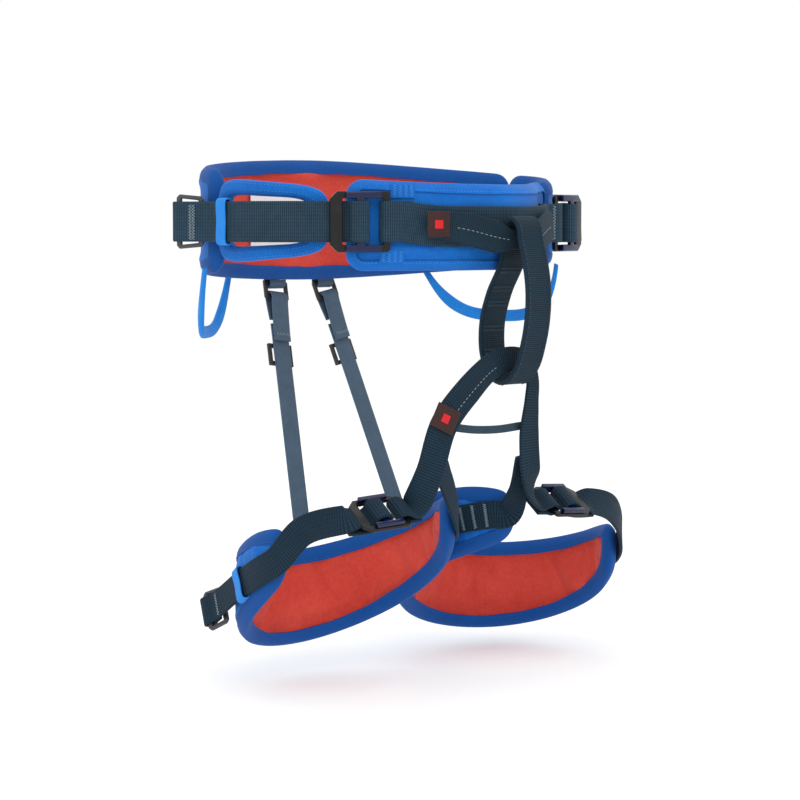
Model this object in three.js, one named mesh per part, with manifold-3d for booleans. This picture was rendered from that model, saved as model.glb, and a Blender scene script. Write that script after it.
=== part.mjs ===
// Small sit harness: padded waist belt, two slide-block buckles, belay loop, leg loops, elastic risers.
// Millimetres, +Z up. The origin is the middle of the waist opening.
// The wearer faces -Y and has +X at the left.
import * as THREE from "three";
import { mergeVertices } from "three/addons/utils/BufferGeometryUtils.js";
import Module from "manifold-3d";

const wasm = await Module();
wasm.setup();

// Driving dimensions
const BELT_HALF_WIDTH = 126; // to the middle of the pad
const BELT_FRONT = 86;
const BELT_BACK = 93;
const FRONT_ROUNDNESS = 1.5; // superellipse powers of the front and back halves
const BACK_ROUNDNESS = 3;
const PAD = 8; // padding thickness
const WEBBING = 25; // waist webbing width
const WEBBING_THICK = 2.2;
const LEG_WEBBING = 18;
const BRIDGE_WEBBING = 19;
const ELASTIC = 14; // riser width
const GEAR_STANDOFF = 3.1; // from the pad to the middle of a gear loop
const GAP = 0.5; // clearance between neighbours
const TAIL_LIFT = PAD / 2 + 6.9; // middle of a tail held by a keeper, out from the middle of the belt pad
const BUCKLE = { length: 37, height: 37, thick: 2.6, bar: 4, thickBar: 7.5, rail: 4.5, cut: 4.5 };
const LEG_BUCKLE = { length: 32, height: 29, thick: 2.4, bar: 3.6, thickBar: 6, rail: 4, cut: 5 };
const EYE_RADIUS = 3.7; // middle of a webbing eye round a buckle bar
const TAIL_EYE = 3.3; // the same round an end ring
const TAIL_LAP = 2;
// Corners of a keeper round a tail: share of the height, and of the depth.
const KEEPER_LOOP = [[1, 0], [0.93, 1], [0, 1.08], [-0.93, 1], [-1, 0], [-0.93, -1], [0, -1.08], [0.93, -1]];
const WAIST_TAIL_GAP = 1.5; // between a waist tail and its lap
const RING_THICK = 2.2;
const RING_LEAN = 28; // degrees between an end ring and the webbing in front of it
const BELAY = { width: 22, thick: 3, y: -104.5, pivotZ: -12, bridgeY: -98.5, bridgeZ: -86 };
const FRAME_THICK = 2.4; // of the risers' rings and sliders
const RISER = { x: 22, y: 98.6, z: -42, footAngle: 201 };

// The two leg loops hang a little differently, and their buckles are set at different lengths.
const LEGS = {
  right: {
    s: -1, x: 70, y: -20, radius: 63.6, level: -211.5, tilt: 33.5, highAt: 5,
    buckleAt: 30, padFrom: 78, padTo: 320, keeperAt: 112, strapRise: -4,
  },
  left: {
    s: 1, x: 80, y: -19, radius: 70, level: -222, tilt: 33, highAt: -38,
    buckleAt: -19, padFrom: 46, padTo: 316, keeperAt: 112, strapRise: 3,
  },
};

const group = new THREE.Group();
const vec = (x, y, z) => new THREE.Vector3(x, y, z);
const rad = THREE.MathUtils.degToRad;
const lerp = THREE.MathUtils.lerp;
const smooth = THREE.MathUtils.smoothstep;

const finishes = {
  padFabric: { color: 0x0b6fc4, roughness: 0.85 },
  liningFabric: { color: 0xd0402f, roughness: 0.9 },
  webbing: { color: 0x1f3a4d, roughness: 0.8 },
  elastic: { color: 0x3a4f61, roughness: 0.85 },
  blueElastic: { color: 0x0f7fd6, roughness: 0.8 },
  blackMetal: { color: 0x0b0b0d, roughness: 0.35, metalness: 0.6 },
  blueMetal: { color: 0x0b1a52, roughness: 0.25, metalness: 0.8 },
  plastic: { color: 0x3a3638, roughness: 0.5 },
  label: { color: 0xdddddd, roughness: 0.8 },
  redLabel: { color: 0xb01820, roughness: 0.7 },
};

function add(name, geometry, finish) {
  const mesh = new THREE.Mesh(geometry, new THREE.MeshStandardMaterial(finishes[finish]));
  mesh.name = name;
  group.add(mesh);
}

// A closed solid from rings of points; each ring is one cross-section of the piece.
function skin(rings, closed = false) {
  const count = rings[0].length;
  const position = rings.flat().flatMap((p) => [p.x, p.y, p.z]);
  const index = [];
  const last = closed ? rings.length : rings.length - 1;
  for (let i = 0; i < last; i++) {
    const next = (i + 1) % rings.length;
    for (let j = 0; j < count; j++) {
      const k = (j + 1) % count;
      index.push(i * count + j, next * count + j, next * count + k);
      index.push(i * count + j, next * count + k, i * count + k);
    }
  }
  if (!closed) {
    const end = (rings.length - 1) * count;
    for (let j = 1; j < count - 1; j++) {
      index.push(0, j, j + 1);
      index.push(end, end + j + 1, end + j);
    }
  }
  const geometry = new THREE.BufferGeometry();
  geometry.setAttribute("position", new THREE.Float32BufferAttribute(position, 3));
  geometry.setIndex(index);
  if (volume(geometry) < 0) {
    for (let i = 0; i < index.length; i += 3) {
      [index[i + 1], index[i + 2]] = [index[i + 2], index[i + 1]];
    }
    geometry.setIndex(index);
  }
  geometry.computeVertexNormals();
  return geometry;
}

function volume(geometry) {
  const at = geometry.getAttribute("position");
  const corner = (i) => new THREE.Vector3().fromBufferAttribute(at, geometry.index.array[i]);
  let sum = 0;
  for (let i = 0; i < geometry.index.count; i += 3) {
    sum += corner(i).dot(corner(i + 1).cross(corner(i + 2)));
  }
  return sum;
}

function solid(geometry) {
  const bare = geometry.index ? geometry.toNonIndexed() : geometry.clone();
  bare.deleteAttribute("normal");
  bare.deleteAttribute("uv");
  const merged = mergeVertices(bare, 1e-3);
  return new wasm.Manifold(
    new wasm.Mesh({
      numProp: 3,
      vertProperties: merged.attributes.position.array,
      triVerts: new Uint32Array(merged.index.array),
    }),
  );
}

function geometryOf(made) {
  const mesh = made.getMesh();
  const geometry = new THREE.BufferGeometry();
  geometry.setAttribute("position", new THREE.BufferAttribute(new Float32Array(mesh.vertProperties), 3));
  geometry.setIndex(new THREE.BufferAttribute(new Uint32Array(mesh.triVerts), 1));
  geometry.computeVertexNormals();
  return geometry;
}

// One cross-section of a flat band: rectangular, or with its corners taken off when bevel is above 0.
function section(centre, across, out, width, thick, bevel = 0) {
  const w = width / 2;
  const t = thick / 2;
  const corners = bevel
    ? [[w, t - bevel], [w - bevel, t], [bevel - w, t], [-w, t - bevel],
       [-w, bevel - t], [bevel - w, -t], [w - bevel, -t], [w, bevel - t]]
    : [[w, t], [-w, t], [-w, -t], [w, -t]];
  return corners.map(([a, b]) => centre.clone().addScaledVector(across, a).addScaledVector(out, b));
}

// A flat strap through stations of { at, out, width }, its face turned towards out.
function strap(stations, { width = WEBBING, thick = WEBBING_THICK, steps = 24, closed = false } = {}) {
  const path = new THREE.CatmullRomCurve3(stations.map((s) => s.at), closed, "centripetal");
  const faces = new THREE.CatmullRomCurve3(stations.map((s) => s.out), closed, "centripetal");
  const widths = stations.map((s) => s.width ?? width);
  const spans = closed ? stations.length : stations.length - 1;
  const rings = [];
  for (let i = 0; i < (closed ? steps : steps + 1); i++) {
    const t = i / steps;
    const place = t * spans;
    const low = Math.min(Math.floor(place), spans - 1);
    const wide = lerp(widths[low], widths[(low + 1) % widths.length], place - low);
    const along = path.getTangent(t);
    const across = along.clone().cross(faces.getPoint(t)).normalize();
    rings.push(section(path.getPoint(t), across, across.clone().cross(along), wide, thick));
  }
  return skin(rings, closed);
}

const station = (at, out, width) => ({ at, out, width });

// The folded end of a strap: out along a line, round a bar at centre, and back for a sewn lap.
function eye(centre, along, out, width, sizes = {}) {
  const { thick = WEBBING_THICK, radius = EYE_RADIUS, lap = 8, gap = GAP } = sizes;
  const place = (a, b) => centre.clone().addScaledVector(along, a).addScaledVector(out, b);
  const turned = (a, b) => along.clone().multiplyScalar(a).addScaledVector(out, b);
  const stations = [
    station(place(-2.4 * radius, 0), out.clone(), width),
    station(place(-0.9 * radius, 0.78 * radius), turned(-0.5, 0.87), width),
  ];
  for (const angle of [90, 45, 0, -45, -90]) {
    const a = Math.cos(rad(angle));
    const b = Math.sin(rad(angle));
    stations.push(station(place(a * radius, b * radius), turned(a, b), width));
  }
  stations.push(station(place(-0.9 * radius, -0.78 * radius), turned(-0.5, -0.87), width));
  stations.push(station(place(-2.4 * radius, -thick - gap), turned(0, -1), width));
  stations.push(station(place(-2.4 * radius - lap, -thick - gap), turned(0, -1), width));
  return stations;
}

// Belt plan: angle from the front, positive towards the wearer's left.
function belt(angle, offset = 0, z = 0) {
  const a = rad(angle);
  const front = Math.cos(a) > 0;
  const depth = front ? BELT_FRONT : BELT_BACK;
  const power = front ? FRONT_ROUNDNESS : BACK_ROUNDNESS;
  const sum = Math.abs(Math.sin(a) / BELT_HALF_WIDTH) ** power + Math.abs(Math.cos(a) / depth) ** power;
  const r = sum ** (-1 / power);
  const at = vec(r * Math.sin(a), -r * Math.cos(a), z);
  const out = vec(
    Math.sign(at.x) * Math.abs(at.x) ** (power - 1) / BELT_HALF_WIDTH ** power,
    Math.sign(at.y) * Math.abs(at.y) ** (power - 1) / depth ** power,
    0,
  ).normalize();
  return { at: at.addScaledVector(out, offset), out };
}

// A padded band along the belt, from heights that vary with the share of its length.
function beltPad(from, to, top, bottom, sizes = {}) {
  const { inset = () => 0, thick = PAD, step = 5, corner = 0.5, bevel = 2 } = sizes;
  const steps = Math.round(Math.abs(to - from) / step);
  const rings = [];
  for (let i = 0; i <= steps; i++) {
    const share = i / steps;
    const angle = lerp(from, to, share);
    const { at, out } = belt(angle, -inset(angle));
    const nearEnd = i === 0 || i === steps ? corner : 1;
    const high = top(share);
    const low = bottom(share);
    const centre = vec(at.x, at.y, (high + low) / 2);
    rings.push(section(centre, vec(0, 0, 1), out, (high - low) * lerp(1, nearEnd, 0.35), thick, bevel));
  }
  return skin(rings);
}

function waistPads() {
  const back = beltPad(
    100, 254,
    (t) => 30 + 9 * Math.sin(Math.PI * t),
    (t) => -31 - 8 * Math.sin(Math.PI * t),
    { corner: 1 },
  );
  add("waist_pad_back", back, "padFabric");
  const leftTop = (t) => lerp(24, 30, t);
  const leftBottom = (t) => lerp(-29, -31, t);
  const left = beltPad(61, 99, leftTop, leftBottom, { corner: 1, inset: frontInset });
  add("waist_pad_left", left, "padFabric");
  const front = beltPad(-64, 60, (t) => 24 - 3 * Math.sin(Math.PI * t), () => -30, { inset: frontInset });
  add("waist_pad_front", front, "padFabric");
  const wing = beltPad(-105.6, -69.5, (t) => lerp(27, 20.5, t), (t) => lerp(-28, -21, t));
  const slotTop = (t) => lerp(16, 13, t);
  const slotBottom = (t) => lerp(-17, -14, t);
  const slot = beltPad(-102, -75, slotTop, slotBottom, { thick: PAD * 3, step: 5 });
  add("waist_pad_right_wing", geometryOf(solid(wing).subtract(solid(slot))), "padFabric");
}

// The front pad lies a little inside the plan where the left buckle rests over it.
const frontInset = (angle) => 7 * Math.exp(-(((angle - 50) / 20) ** 2));

// A buckle's place: its middle, the way along the strap from the sewn eye, and the way out from the body.
const buckles = {
  waist_right: {
    size: BUCKLE,
    at: vec(-92, -56, -1),
    along: vec(-0.81, 0.586, 0),
    out: vec(-0.586, -0.81, 0),
  },
  waist_left: {
    size: BUCKLE,
    at: vec(90, -63, -2),
    along: vec(0.972, 0.235, 0),
    out: vec(0.235, -0.972, 0),
  },
  leg_right: {
    size: LEG_BUCKLE,
    at: vec(-104, -84, -176),
    along: vec(-0.95, 0.27, -0.08),
    out: vec(-0.14, -0.5, 0.85),
  },
  leg_left: {
    size: LEG_BUCKLE,
    at: vec(58, -89, -181),
    along: vec(0.98, -0.12, -0.06),
    out: vec(0, -0.55, 0.83),
  },
};
for (const place of Object.values(buckles)) {
  place.along.normalize();
  place.out.addScaledVector(place.along, -place.out.dot(place.along)).normalize();
  place.eye = place.at.clone().addScaledVector(place.along, place.size.bar / 2 - place.size.length / 2);
}

// Puts a shape drawn along X (strap direction) and Y (across) into a buckle's plane.
function intoPlane(geometry, at, along, out) {
  const across = out.clone().cross(along);
  const turn = new THREE.Matrix4().makeBasis(along, across, out).setPosition(at);
  return geometry.applyMatrix4(turn);
}

function buckle(name, { size, at, along, out }) {
  const l = size.length / 2;
  const h = size.height / 2;
  const plate = new THREE.Shape();
  plate.moveTo(-l, 1.5 - h);
  plate.lineTo(1.5 - l, -h);
  plate.lineTo(l - size.cut, -h);
  plate.lineTo(l, size.cut - h);
  plate.lineTo(l, h - size.cut);
  plate.lineTo(l - size.cut, h);
  plate.lineTo(1.5 - l, h);
  plate.lineTo(-l, h - 1.5);
  plate.closePath();
  const window = new THREE.Path();
  window.moveTo(size.bar - l, size.rail - h);
  window.lineTo(size.bar - l, h - size.rail);
  window.lineTo(l - size.thickBar, h - size.rail);
  window.lineTo(l - size.thickBar, size.rail - h);
  window.closePath();
  plate.holes.push(window);
  const frame = new THREE.ExtrudeGeometry(plate, { depth: size.thick, bevelEnabled: false });
  frame.translate(0, 0, -size.thick / 2);
  add(`${name}_buckle_frame`, intoPlane(frame, at, along, out), "blackMetal");

  // The slide block: a cross bar between two rails that ride on the frame's sides.
  const reach = l - size.thickBar - size.bar / 2;
  const start = size.bar / 2 - l + size.bar;
  const rail = size.rail * 0.95;
  const block = new THREE.Shape();
  block.moveTo(start, -h + 0.4);
  block.lineTo(reach, -h + 0.4);
  block.lineTo(reach, rail - h);
  block.lineTo(size.bar * 0.6, rail - h);
  block.lineTo(size.bar * 0.6, h - rail);
  block.lineTo(reach, h - rail);
  block.lineTo(reach, h - 0.4);
  block.lineTo(start, h - 0.4);
  block.lineTo(start, h - rail);
  block.lineTo(-size.bar * 0.6, h - rail);
  block.lineTo(-size.bar * 0.6, rail - h);
  block.lineTo(start, rail - h);
  block.closePath();
  const slider = new THREE.ExtrudeGeometry(block, { depth: size.thick, bevelEnabled: false });
  slider.translate(0, 0, size.thick / 2 + 0.3);
  add(`${name}_buckle_slider`, intoPlane(slider, at, along, out), "blueMetal");
}

// The plastic ring on a webbing end: its bar is in the webbing's fold, and it lies back behind the webbing.
function endRing(name, centre, along, out, { wide, narrow, length }) {
  const bar = 3.4;
  const side = 2.6;
  const chamfer = 2;
  const far = length - bar / 2;
  const ring = new THREE.Shape();
  ring.moveTo(-bar / 2, chamfer - wide / 2);
  ring.lineTo(chamfer - bar / 2, -wide / 2);
  ring.lineTo(far - chamfer, -narrow / 2);
  ring.lineTo(far, chamfer - narrow / 2);
  ring.lineTo(far, narrow / 2 - chamfer);
  ring.lineTo(far - chamfer, narrow / 2);
  ring.lineTo(chamfer - bar / 2, wide / 2);
  ring.lineTo(-bar / 2, wide / 2 - chamfer);
  ring.closePath();
  const hole = new THREE.Path();
  hole.moveTo(bar / 2, side - wide / 2);
  hole.lineTo(bar / 2, wide / 2 - side);
  hole.lineTo(far - bar, narrow / 2 - side);
  hole.lineTo(far - bar, side - narrow / 2);
  hole.closePath();
  ring.holes.push(hole);
  const geometry = new THREE.ExtrudeGeometry(ring, { depth: RING_THICK, bevelEnabled: false });
  geometry.translate(0, 0, -RING_THICK / 2);
  const lean = rad(RING_LEAN);
  const back = along.clone().multiplyScalar(-Math.cos(lean)).addScaledVector(out, -Math.sin(lean));
  const face = out.clone().multiplyScalar(Math.cos(lean)).addScaledVector(along, -Math.sin(lean));
  add(name, intoPlane(geometry, centre, back, face), "plastic");
}

// Waist webbing over the back, and the adjusted tails outside it with a ring on each end.
const tailEnds = {};
function waistStraps() {
  const around = [];
  for (let angle = 80; angle <= 280; angle += 8) {
    const { at, out } = belt(angle, PAD / 2 + WEBBING_THICK / 2 + 2 * GAP, -1);
    around.push(station(at, out));
  }
  add("waist_webbing", strap(around, { steps: 50 }), "webbing");
  for (const [side, s] of [["right", -1], ["left", 1]]) {
    const stations = [72, 80, 88, 96, 104].map((angle) => {
      const { at, out } = belt(s * angle, TAIL_LIFT, -1);
      return station(at, out);
    });
    const out = vec(s * 0.99, 0.14, 0).normalize();
    const along = vec(-s * out.y, s * out.x, 0).normalize();
    const centre = vec(s * 139.5, 57, -1);
    tailEnds[side] = { centre, along, out };
    const turn = { radius: TAIL_EYE, lap: TAIL_LAP, gap: WAIST_TAIL_GAP };
    stations.push(...eye(centre, along, out, WEBBING, turn));
    add(`waist_tail_${side}`, strap(stations, { steps: 44 }), "webbing");
    endRing(`waist_end_ring_${side}`, centre, along, out, { wide: 34, narrow: 31.5, length: 19 });

    // An elastic keeper holds the tail against the belt.
    const held = belt(s * 98, TAIL_LIFT, -1);
    const round = [];
    const highest = WEBBING / 2 + 1.6;
    const deepest = WEBBING_THICK / 2 + 1;
    for (const [z, n] of KEEPER_LOOP) {
      const at = held.at.clone().addScaledVector(held.out, n * deepest);
      at.z += z * highest;
      round.push(station(at, vec(held.out.x * n, held.out.y * n, z)));
    }
    const keeper = strap(round, { width: 9, thick: 1, steps: 24, closed: true });
    add(`waist_keeper_${side}`, keeper, "blueElastic");
  }
}

// The front strap joins the two waist buckles; each end is an eye round a buckle bar.
function frontStrap() {
  const { waist_right: r, waist_left: l } = buckles;
  const rightEye = eye(r.eye, r.along, r.out, WEBBING).reverse();
  const leftEye = eye(l.eye, l.along, l.out, WEBBING);
  const middle = [
    station(vec(-50, -79.5, -3.6), vec(-0.45, -0.9, 0)),
    station(vec(-24, -91, -4), vec(-0.28, -0.96, 0)),
    station(vec(0, -93.6, -4), vec(0, -1, 0)),
    station(vec(24, -89.5, -4), vec(0.3, -0.95, 0)),
    station(vec(46, -81, -3), vec(0.45, -0.9, 0)),
  ];
  add("front_strap", strap([...rightEye, ...middle, ...leftEye], { steps: 84 }), "webbing");
}

// The tie-in sleeve: reinforced webbing sewn over the front strap, gathered where the belay loop hangs.
function tieIn() {
  const stations = [
    station(vec(-56, -83.5, -2.5), vec(-0.5, -0.87, 0.05), 17),
    station(vec(-38, -93.3, -5.5), vec(-0.42, -0.9, 0.1), 20),
    station(vec(-19, -101.5, -10.5), vec(-0.26, -0.96, 0.1), 20),
    station(vec(-9, -104, BELAY.pivotZ), vec(0, -1, 0), 12.5),
    station(vec(0, BELAY.y, BELAY.pivotZ), vec(0, -1, 0), 12.5),
    station(vec(9, -104, BELAY.pivotZ), vec(0, -1, 0), 12.5),
    station(vec(19, -101.2, -10.5), vec(0.3, -0.96, 0.1), 20),
    station(vec(37, -92, -5.5), vec(0.45, -0.9, 0.1), 20),
    station(vec(52, -83, -3), vec(0.5, -0.87, 0.05), 17),
  ];
  add("tie_in_sleeve", strap(stations, { thick: 2.6, steps: 40 }), "webbing");
  const tag = new THREE.BoxGeometry(14, 16, 1);
  const out = vec(-0.5, -0.87, 0).normalize();
  const along = vec(out.y, -out.x, 0);
  add("tie_in_tag", intoPlane(tag, vec(-55.2, -86.8, -2.6), along, out), "redLabel");
}

function belayLoop() {
  const outline = [
    [0, 1], [-5.9, -3.5], [-7.6, -12], [-11, -24], [-14, -42], [-13.5, -60], [-10, -77],
    [-4, -92], [6, -100.6], [17.5, -97], [24, -84], [24.5, -64], [18.5, -45], [9.5, -29],
    [6, -18], [5.7, -10], [4.6, -3.5],
  ];
  const middle = vec(0, BELAY.y + 5, -50);
  const stations = outline.map(([y, z]) => {
    const at = vec(0, BELAY.y + y, z);
    return station(at, at.clone().sub(middle));
  });
  const path = new THREE.CatmullRomCurve3(stations.map((s) => s.at), true, "centripetal");
  const rings = [];
  const steps = 56;
  for (let i = 0; i < steps; i++) {
    const out = vec(1, 0, 0).cross(path.getTangent(i / steps));
    rings.push(section(path.getPoint(i / steps), vec(1, 0, 0), out, BELAY.width, BELAY.thick));
  }
  add("belay_loop", skin(rings, true), "webbing");
}

// Leg loops: angle from the front, positive towards the wearer's outer side.
function thigh(leg, angle, offset = 0, rise = 0) {
  const a = rad(angle);
  const out = vec(leg.s * Math.sin(a), -Math.cos(a), 0);
  const z = leg.level + leg.tilt * Math.cos(rad(angle - leg.highAt)) + rise;
  return { at: vec(leg.s * leg.x, leg.y, z).addScaledVector(out, leg.radius + offset), out };
}

function legPad(side, leg) {
  const steps = 30;
  const rings = [];
  for (let i = 0; i <= steps; i++) {
    const share = i / steps;
    const { at, out } = thigh(leg, lerp(leg.padFrom, leg.padTo, share));
    const ends = Math.sqrt(Math.max(0, 1 - Math.max(0, 1 - 9 * Math.min(share, 1 - share)) ** 2));
    const height = lerp(34, 59, Math.sin(Math.PI * share ** 0.9) ** 0.8) * lerp(0.62, 1, ends);
    rings.push(section(at, vec(0, 0, 1), out, height, PAD, 2));
  }
  add(`leg_pad_${side}`, skin(rings), "liningFabric");
}

// Leg webbing from behind the buckle, round the outside of the pad, to a ring on its free end.
function legTail(side, leg, place) {
  const layer = PAD / 2 + WEBBING_THICK / 2 + 2;
  const start = place.at.clone().addScaledVector(place.along, place.size.length / 2 + 2);
  const clear = start.clone().addScaledVector(place.along, 5);
  const first = leg.buckleAt + 36;
  const facing = place.out.clone().lerp(thigh(leg, first).out, 0.6).normalize();
  const stations = [station(start, place.out), station(clear, facing)];
  for (let angle = first; angle < leg.keeperAt - 4; angle += 14) {
    const near = smooth(angle, first - 12, leg.padFrom + 6);
    const { at, out } = thigh(leg, angle, lerp(4, layer, near), leg.strapRise);
    at.z = lerp(start.z - 3, at.z, near);
    stations.push(station(at, out));
  }
  const leave = thigh(leg, leg.keeperAt, layer + 0.4, leg.strapRise);
  const along = leave.at.clone().sub(thigh(leg, leg.keeperAt - 10, layer, leg.strapRise).at);
  along.normalize().add(vec(0, 0, -0.1)).normalize();
  const out = leave.out.clone().addScaledVector(along, -leave.out.dot(along)).normalize();
  const centre = leave.at.clone().addScaledVector(along, 43).addScaledVector(out, 3);
  stations.push(station(leave.at, out));
  stations.push(...eye(centre, along, out, LEG_WEBBING, { radius: TAIL_EYE, lap: TAIL_LAP }));
  add(`leg_tail_${side}`, strap(stations, { width: LEG_WEBBING, steps: 52 }), "webbing");
  endRing(`leg_end_ring_${side}`, centre, along, out, { wide: 26, narrow: 24.5, length: 16 });

  const held = thigh(leg, leg.keeperAt - 2, layer, leg.strapRise);
  const up = along.clone().cross(held.out).normalize();
  const round = [];
  for (const [z, n] of KEEPER_LOOP) {
    const at = held.at.clone().addScaledVector(held.out, n * 2.1 + 0.1);
    at.addScaledVector(up, z * (LEG_WEBBING / 2 + 1.6));
    const face = held.out.clone().multiplyScalar(n).addScaledVector(up, z);
    round.push(station(at, face));
  }
  add(`leg_keeper_${side}`, strap(round, { width: 9, thick: 0.9, steps: 24, closed: true }), "blueElastic");
}

// One strap runs from the right leg buckle, through the belay loop, to the left leg buckle.
function bridge() {
  const { leg_right: r, leg_left: l } = buckles;
  const rightEye = eye(r.eye, r.along, r.out, LEG_WEBBING, { lap: 3 }).reverse();
  const leftEye = eye(l.eye, l.along, l.out, LEG_WEBBING, { lap: 3 });
  const middle = [
    station(vec(-74, -97, -153), vec(-0.33, -0.93, 0.2), LEG_WEBBING),
    station(vec(-61, -97, -124), vec(-0.28, -0.96, 0), BRIDGE_WEBBING),
    station(vec(-40, -98.5, -103), vec(-0.15, -0.99, 0), BRIDGE_WEBBING),
    station(vec(-18, BELAY.bridgeY, BELAY.bridgeZ - 3), vec(0, -1, 0), 17),
    station(vec(0, BELAY.bridgeY, BELAY.bridgeZ), vec(0, -1, 0), 15),
    station(vec(11, BELAY.bridgeY, BELAY.bridgeZ - 2), vec(0, -1, 0), 12),
    station(vec(17.8, -98, -99), vec(0, -1, 0), 10),
    station(vec(17, -98, -114), vec(0, -1, 0), 12),
    station(vec(16, -97, -134), vec(0, -1, 0), 17),
    station(vec(19, -96, -160), vec(0, -1, 0.1), LEG_WEBBING),
  ];
  const geometry = strap([...rightEye, ...middle, ...leftEye], { width: LEG_WEBBING, steps: 100 });
  add("leg_bridge_strap", geometry, "webbing");
  const out = vec(-0.28, -0.96, 0).normalize();
  const along = vec(0.45, 0, 0.893);
  along.addScaledVector(out, -along.dot(out)).normalize();
  const card = new THREE.BoxGeometry(15, 17, 1);
  add("bridge_tag", intoPlane(card, vec(-62.4, -99.4, -120), along, out), "redLabel");
  const cord = [
    station(vec(-52, -93.5, -126), vec(0, -1, 0)),
    station(vec(-30, -93.2, -129), vec(0, -1, 0)),
    station(vec(-8, -93, -130), vec(0, -1, 0)),
    station(vec(12, -93.5, -129), vec(0, -1, 0)),
  ];
  add("cross_elastic", strap(cord, { width: 5, thick: 2, steps: 12 }), "elastic");
}

// The inner webbing lifts each pad's inner end to the strap above it.
function innerStrap(side, leg, top, middle) {
  const stations = [-28, -19, -10, -3].map((angle) => {
    const { at, out } = thigh(leg, leg.padTo + angle, PAD / 2 + WEBBING_THICK / 2 + 1.2, 2);
    return station(at, out);
  });
  stations.push(
    station(middle, vec(-0.2 - leg.s * 0.2, -0.95, 0), LEG_WEBBING - 5),
    station(top, vec(leg.s * 0.2 - 0.3, -0.95, 0), LEG_WEBBING - 3),
  );
  add(`leg_inner_strap_${side}`, strap(stations, { width: LEG_WEBBING, steps: 20 }), "webbing");
}

// A flat rectangular frame in the plane of X (across) and Y (down).
function flatFrame({ half, inside, top, holeTop, holeBottom, bottom }) {
  const rectangle = (shape, x, y0, y1) => {
    shape.moveTo(-x, y0);
    shape.lineTo(x, y0);
    shape.lineTo(x, y1);
    shape.lineTo(-x, y1);
    shape.closePath();
    return shape;
  };
  const plate = rectangle(new THREE.Shape(), half, top, bottom);
  plate.holes.push(rectangle(new THREE.Path(), inside, holeTop, holeBottom));
  return new THREE.ExtrudeGeometry(plate, { depth: FRAME_THICK, bevelEnabled: false });
}

// Elastic risers hold the leg loops up at the back: tab, ring, doubled elastic, slider and lower strap.
function riser(side, leg) {
  const foot = thigh(leg, RISER.footAngle, PAD / 2 + 2.2, 34).at;
  const top = vec(leg.s * RISER.x, RISER.y, RISER.z);
  const down = foot.clone().sub(top).normalize();
  const across = vec(1, 0, 0).addScaledVector(down, -down.x).normalize();
  const out = across.clone().cross(down).negate();
  const drop = (distance, offset = 0) =>
    top.clone().addScaledVector(down, distance).addScaledVector(out, offset);

  const fold = [
    station(vec(top.x, top.y + 0.6, top.z + 18), vec(0, 1, 0)),
    station(vec(top.x, top.y + 0.6, top.z + 8), vec(0, 1, 0)),
    station(vec(top.x, top.y + 3, top.z + 3), vec(0, 1, 0.3)),
    station(vec(top.x, top.y + 3, top.z - 1), vec(0, 1, -0.4)),
    station(vec(top.x, top.y, top.z - 3.4), vec(0, 0, -1)),
    station(vec(top.x, top.y - 3, top.z - 1), vec(0, -1, -0.4)),
    station(vec(top.x, top.y - 2.9, top.z + 2), vec(0, -1, 0.2)),
  ];
  add(`riser_tab_${side}`, strap(fold, { width: 14, thick: 1.2, steps: 24 }), "elastic");

  const turned = (geometry, at) =>
    geometry.applyMatrix4(
      new THREE.Matrix4().makeBasis(across, down, across.clone().cross(down)).setPosition(at),
    );
  const plate = flatFrame({ half: 10, inside: 7.6, top: -0.9, holeTop: 0.9, holeBottom: 8.8, bottom: 11.4 });
  plate.translate(0, 0, -FRAME_THICK / 2);
  turned(plate, top);
  add(`riser_ring_${side}`, plate, "plastic");

  const length = foot.distanceTo(top);
  const upper = [
    station(drop(26, -1.6), out.clone().negate()),
    station(drop(14, -3), out.clone().negate()),
    station(drop(9.8, -3.1), out.clone().negate().addScaledVector(down, -0.4)),
    station(drop(6.7, 0), down.clone().negate()),
    station(drop(9.8, 3.1), out.clone().addScaledVector(down, -0.4)),
    station(drop(16, 2.6), out.clone()),
    station(drop(34, 1.4), out.clone()),
    station(drop(41, 1.3), out.clone()),
  ];
  add(`riser_upper_${side}`, strap(upper, { width: ELASTIC, thick: 1.2, steps: 36 }), "elastic");
  const lower = [
    station(drop(29, -1.0), out.clone()),
    station(drop(60, -0.8), out.clone()),
    station(drop(100, -0.8), out.clone()),
    station(drop(length - 3, -0.8), out.clone()),
  ];
  add(`riser_lower_${side}`, strap(lower, { width: ELASTIC, thick: 1.4, steps: 8 }), "elastic");

  const block = flatFrame({ half: 10, inside: 7.5, top: -7.5, holeTop: -4.6, holeBottom: 4.6, bottom: 7.5 });
  block.translate(0, 0, 1.8);
  turned(block, drop(50, 0));
  add(`riser_slider_${side}`, block, "plastic");
}

function gearLoop(name, from, to, drop) {
  const start = belt(from, PAD / 2 + GEAR_STANDOFF, -30);
  const end = belt(to, PAD / 2 + GEAR_STANDOFF, -30);
  const steps = 28;
  const rings = [];
  for (let i = 0; i <= steps; i++) {
    const share = i / steps;
    const { at, out } = belt(lerp(from, to, share), PAD / 2 + GEAR_STANDOFF);
    const sag = 1 - Math.abs(2 * share - 1) ** 3.2;
    const chord = start.at.clone().lerp(end.at, share);
    const centre = vec(lerp(at.x, chord.x, 0.3 * sag), lerp(at.y, chord.y, 0.3 * sag), -30 - drop * sag);
    const steep = drop * 3.2 * 2 * Math.abs(2 * share - 1) ** 2.2 * Math.sign(2 * share - 1);
    const along = end.at.clone().sub(start.at).add(vec(0, 0, steep)).normalize();
    const across = along.clone().cross(out).normalize();
    const full = smooth(Math.min(share, 1 - share), 0, 0.2);
    const face = across.clone().cross(along).normalize();
    rings.push(section(centre, across, face, lerp(4, 8, full), lerp(3, 4, full), 1));
  }
  add(name, skin(rings), "blueElastic");
}

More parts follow.
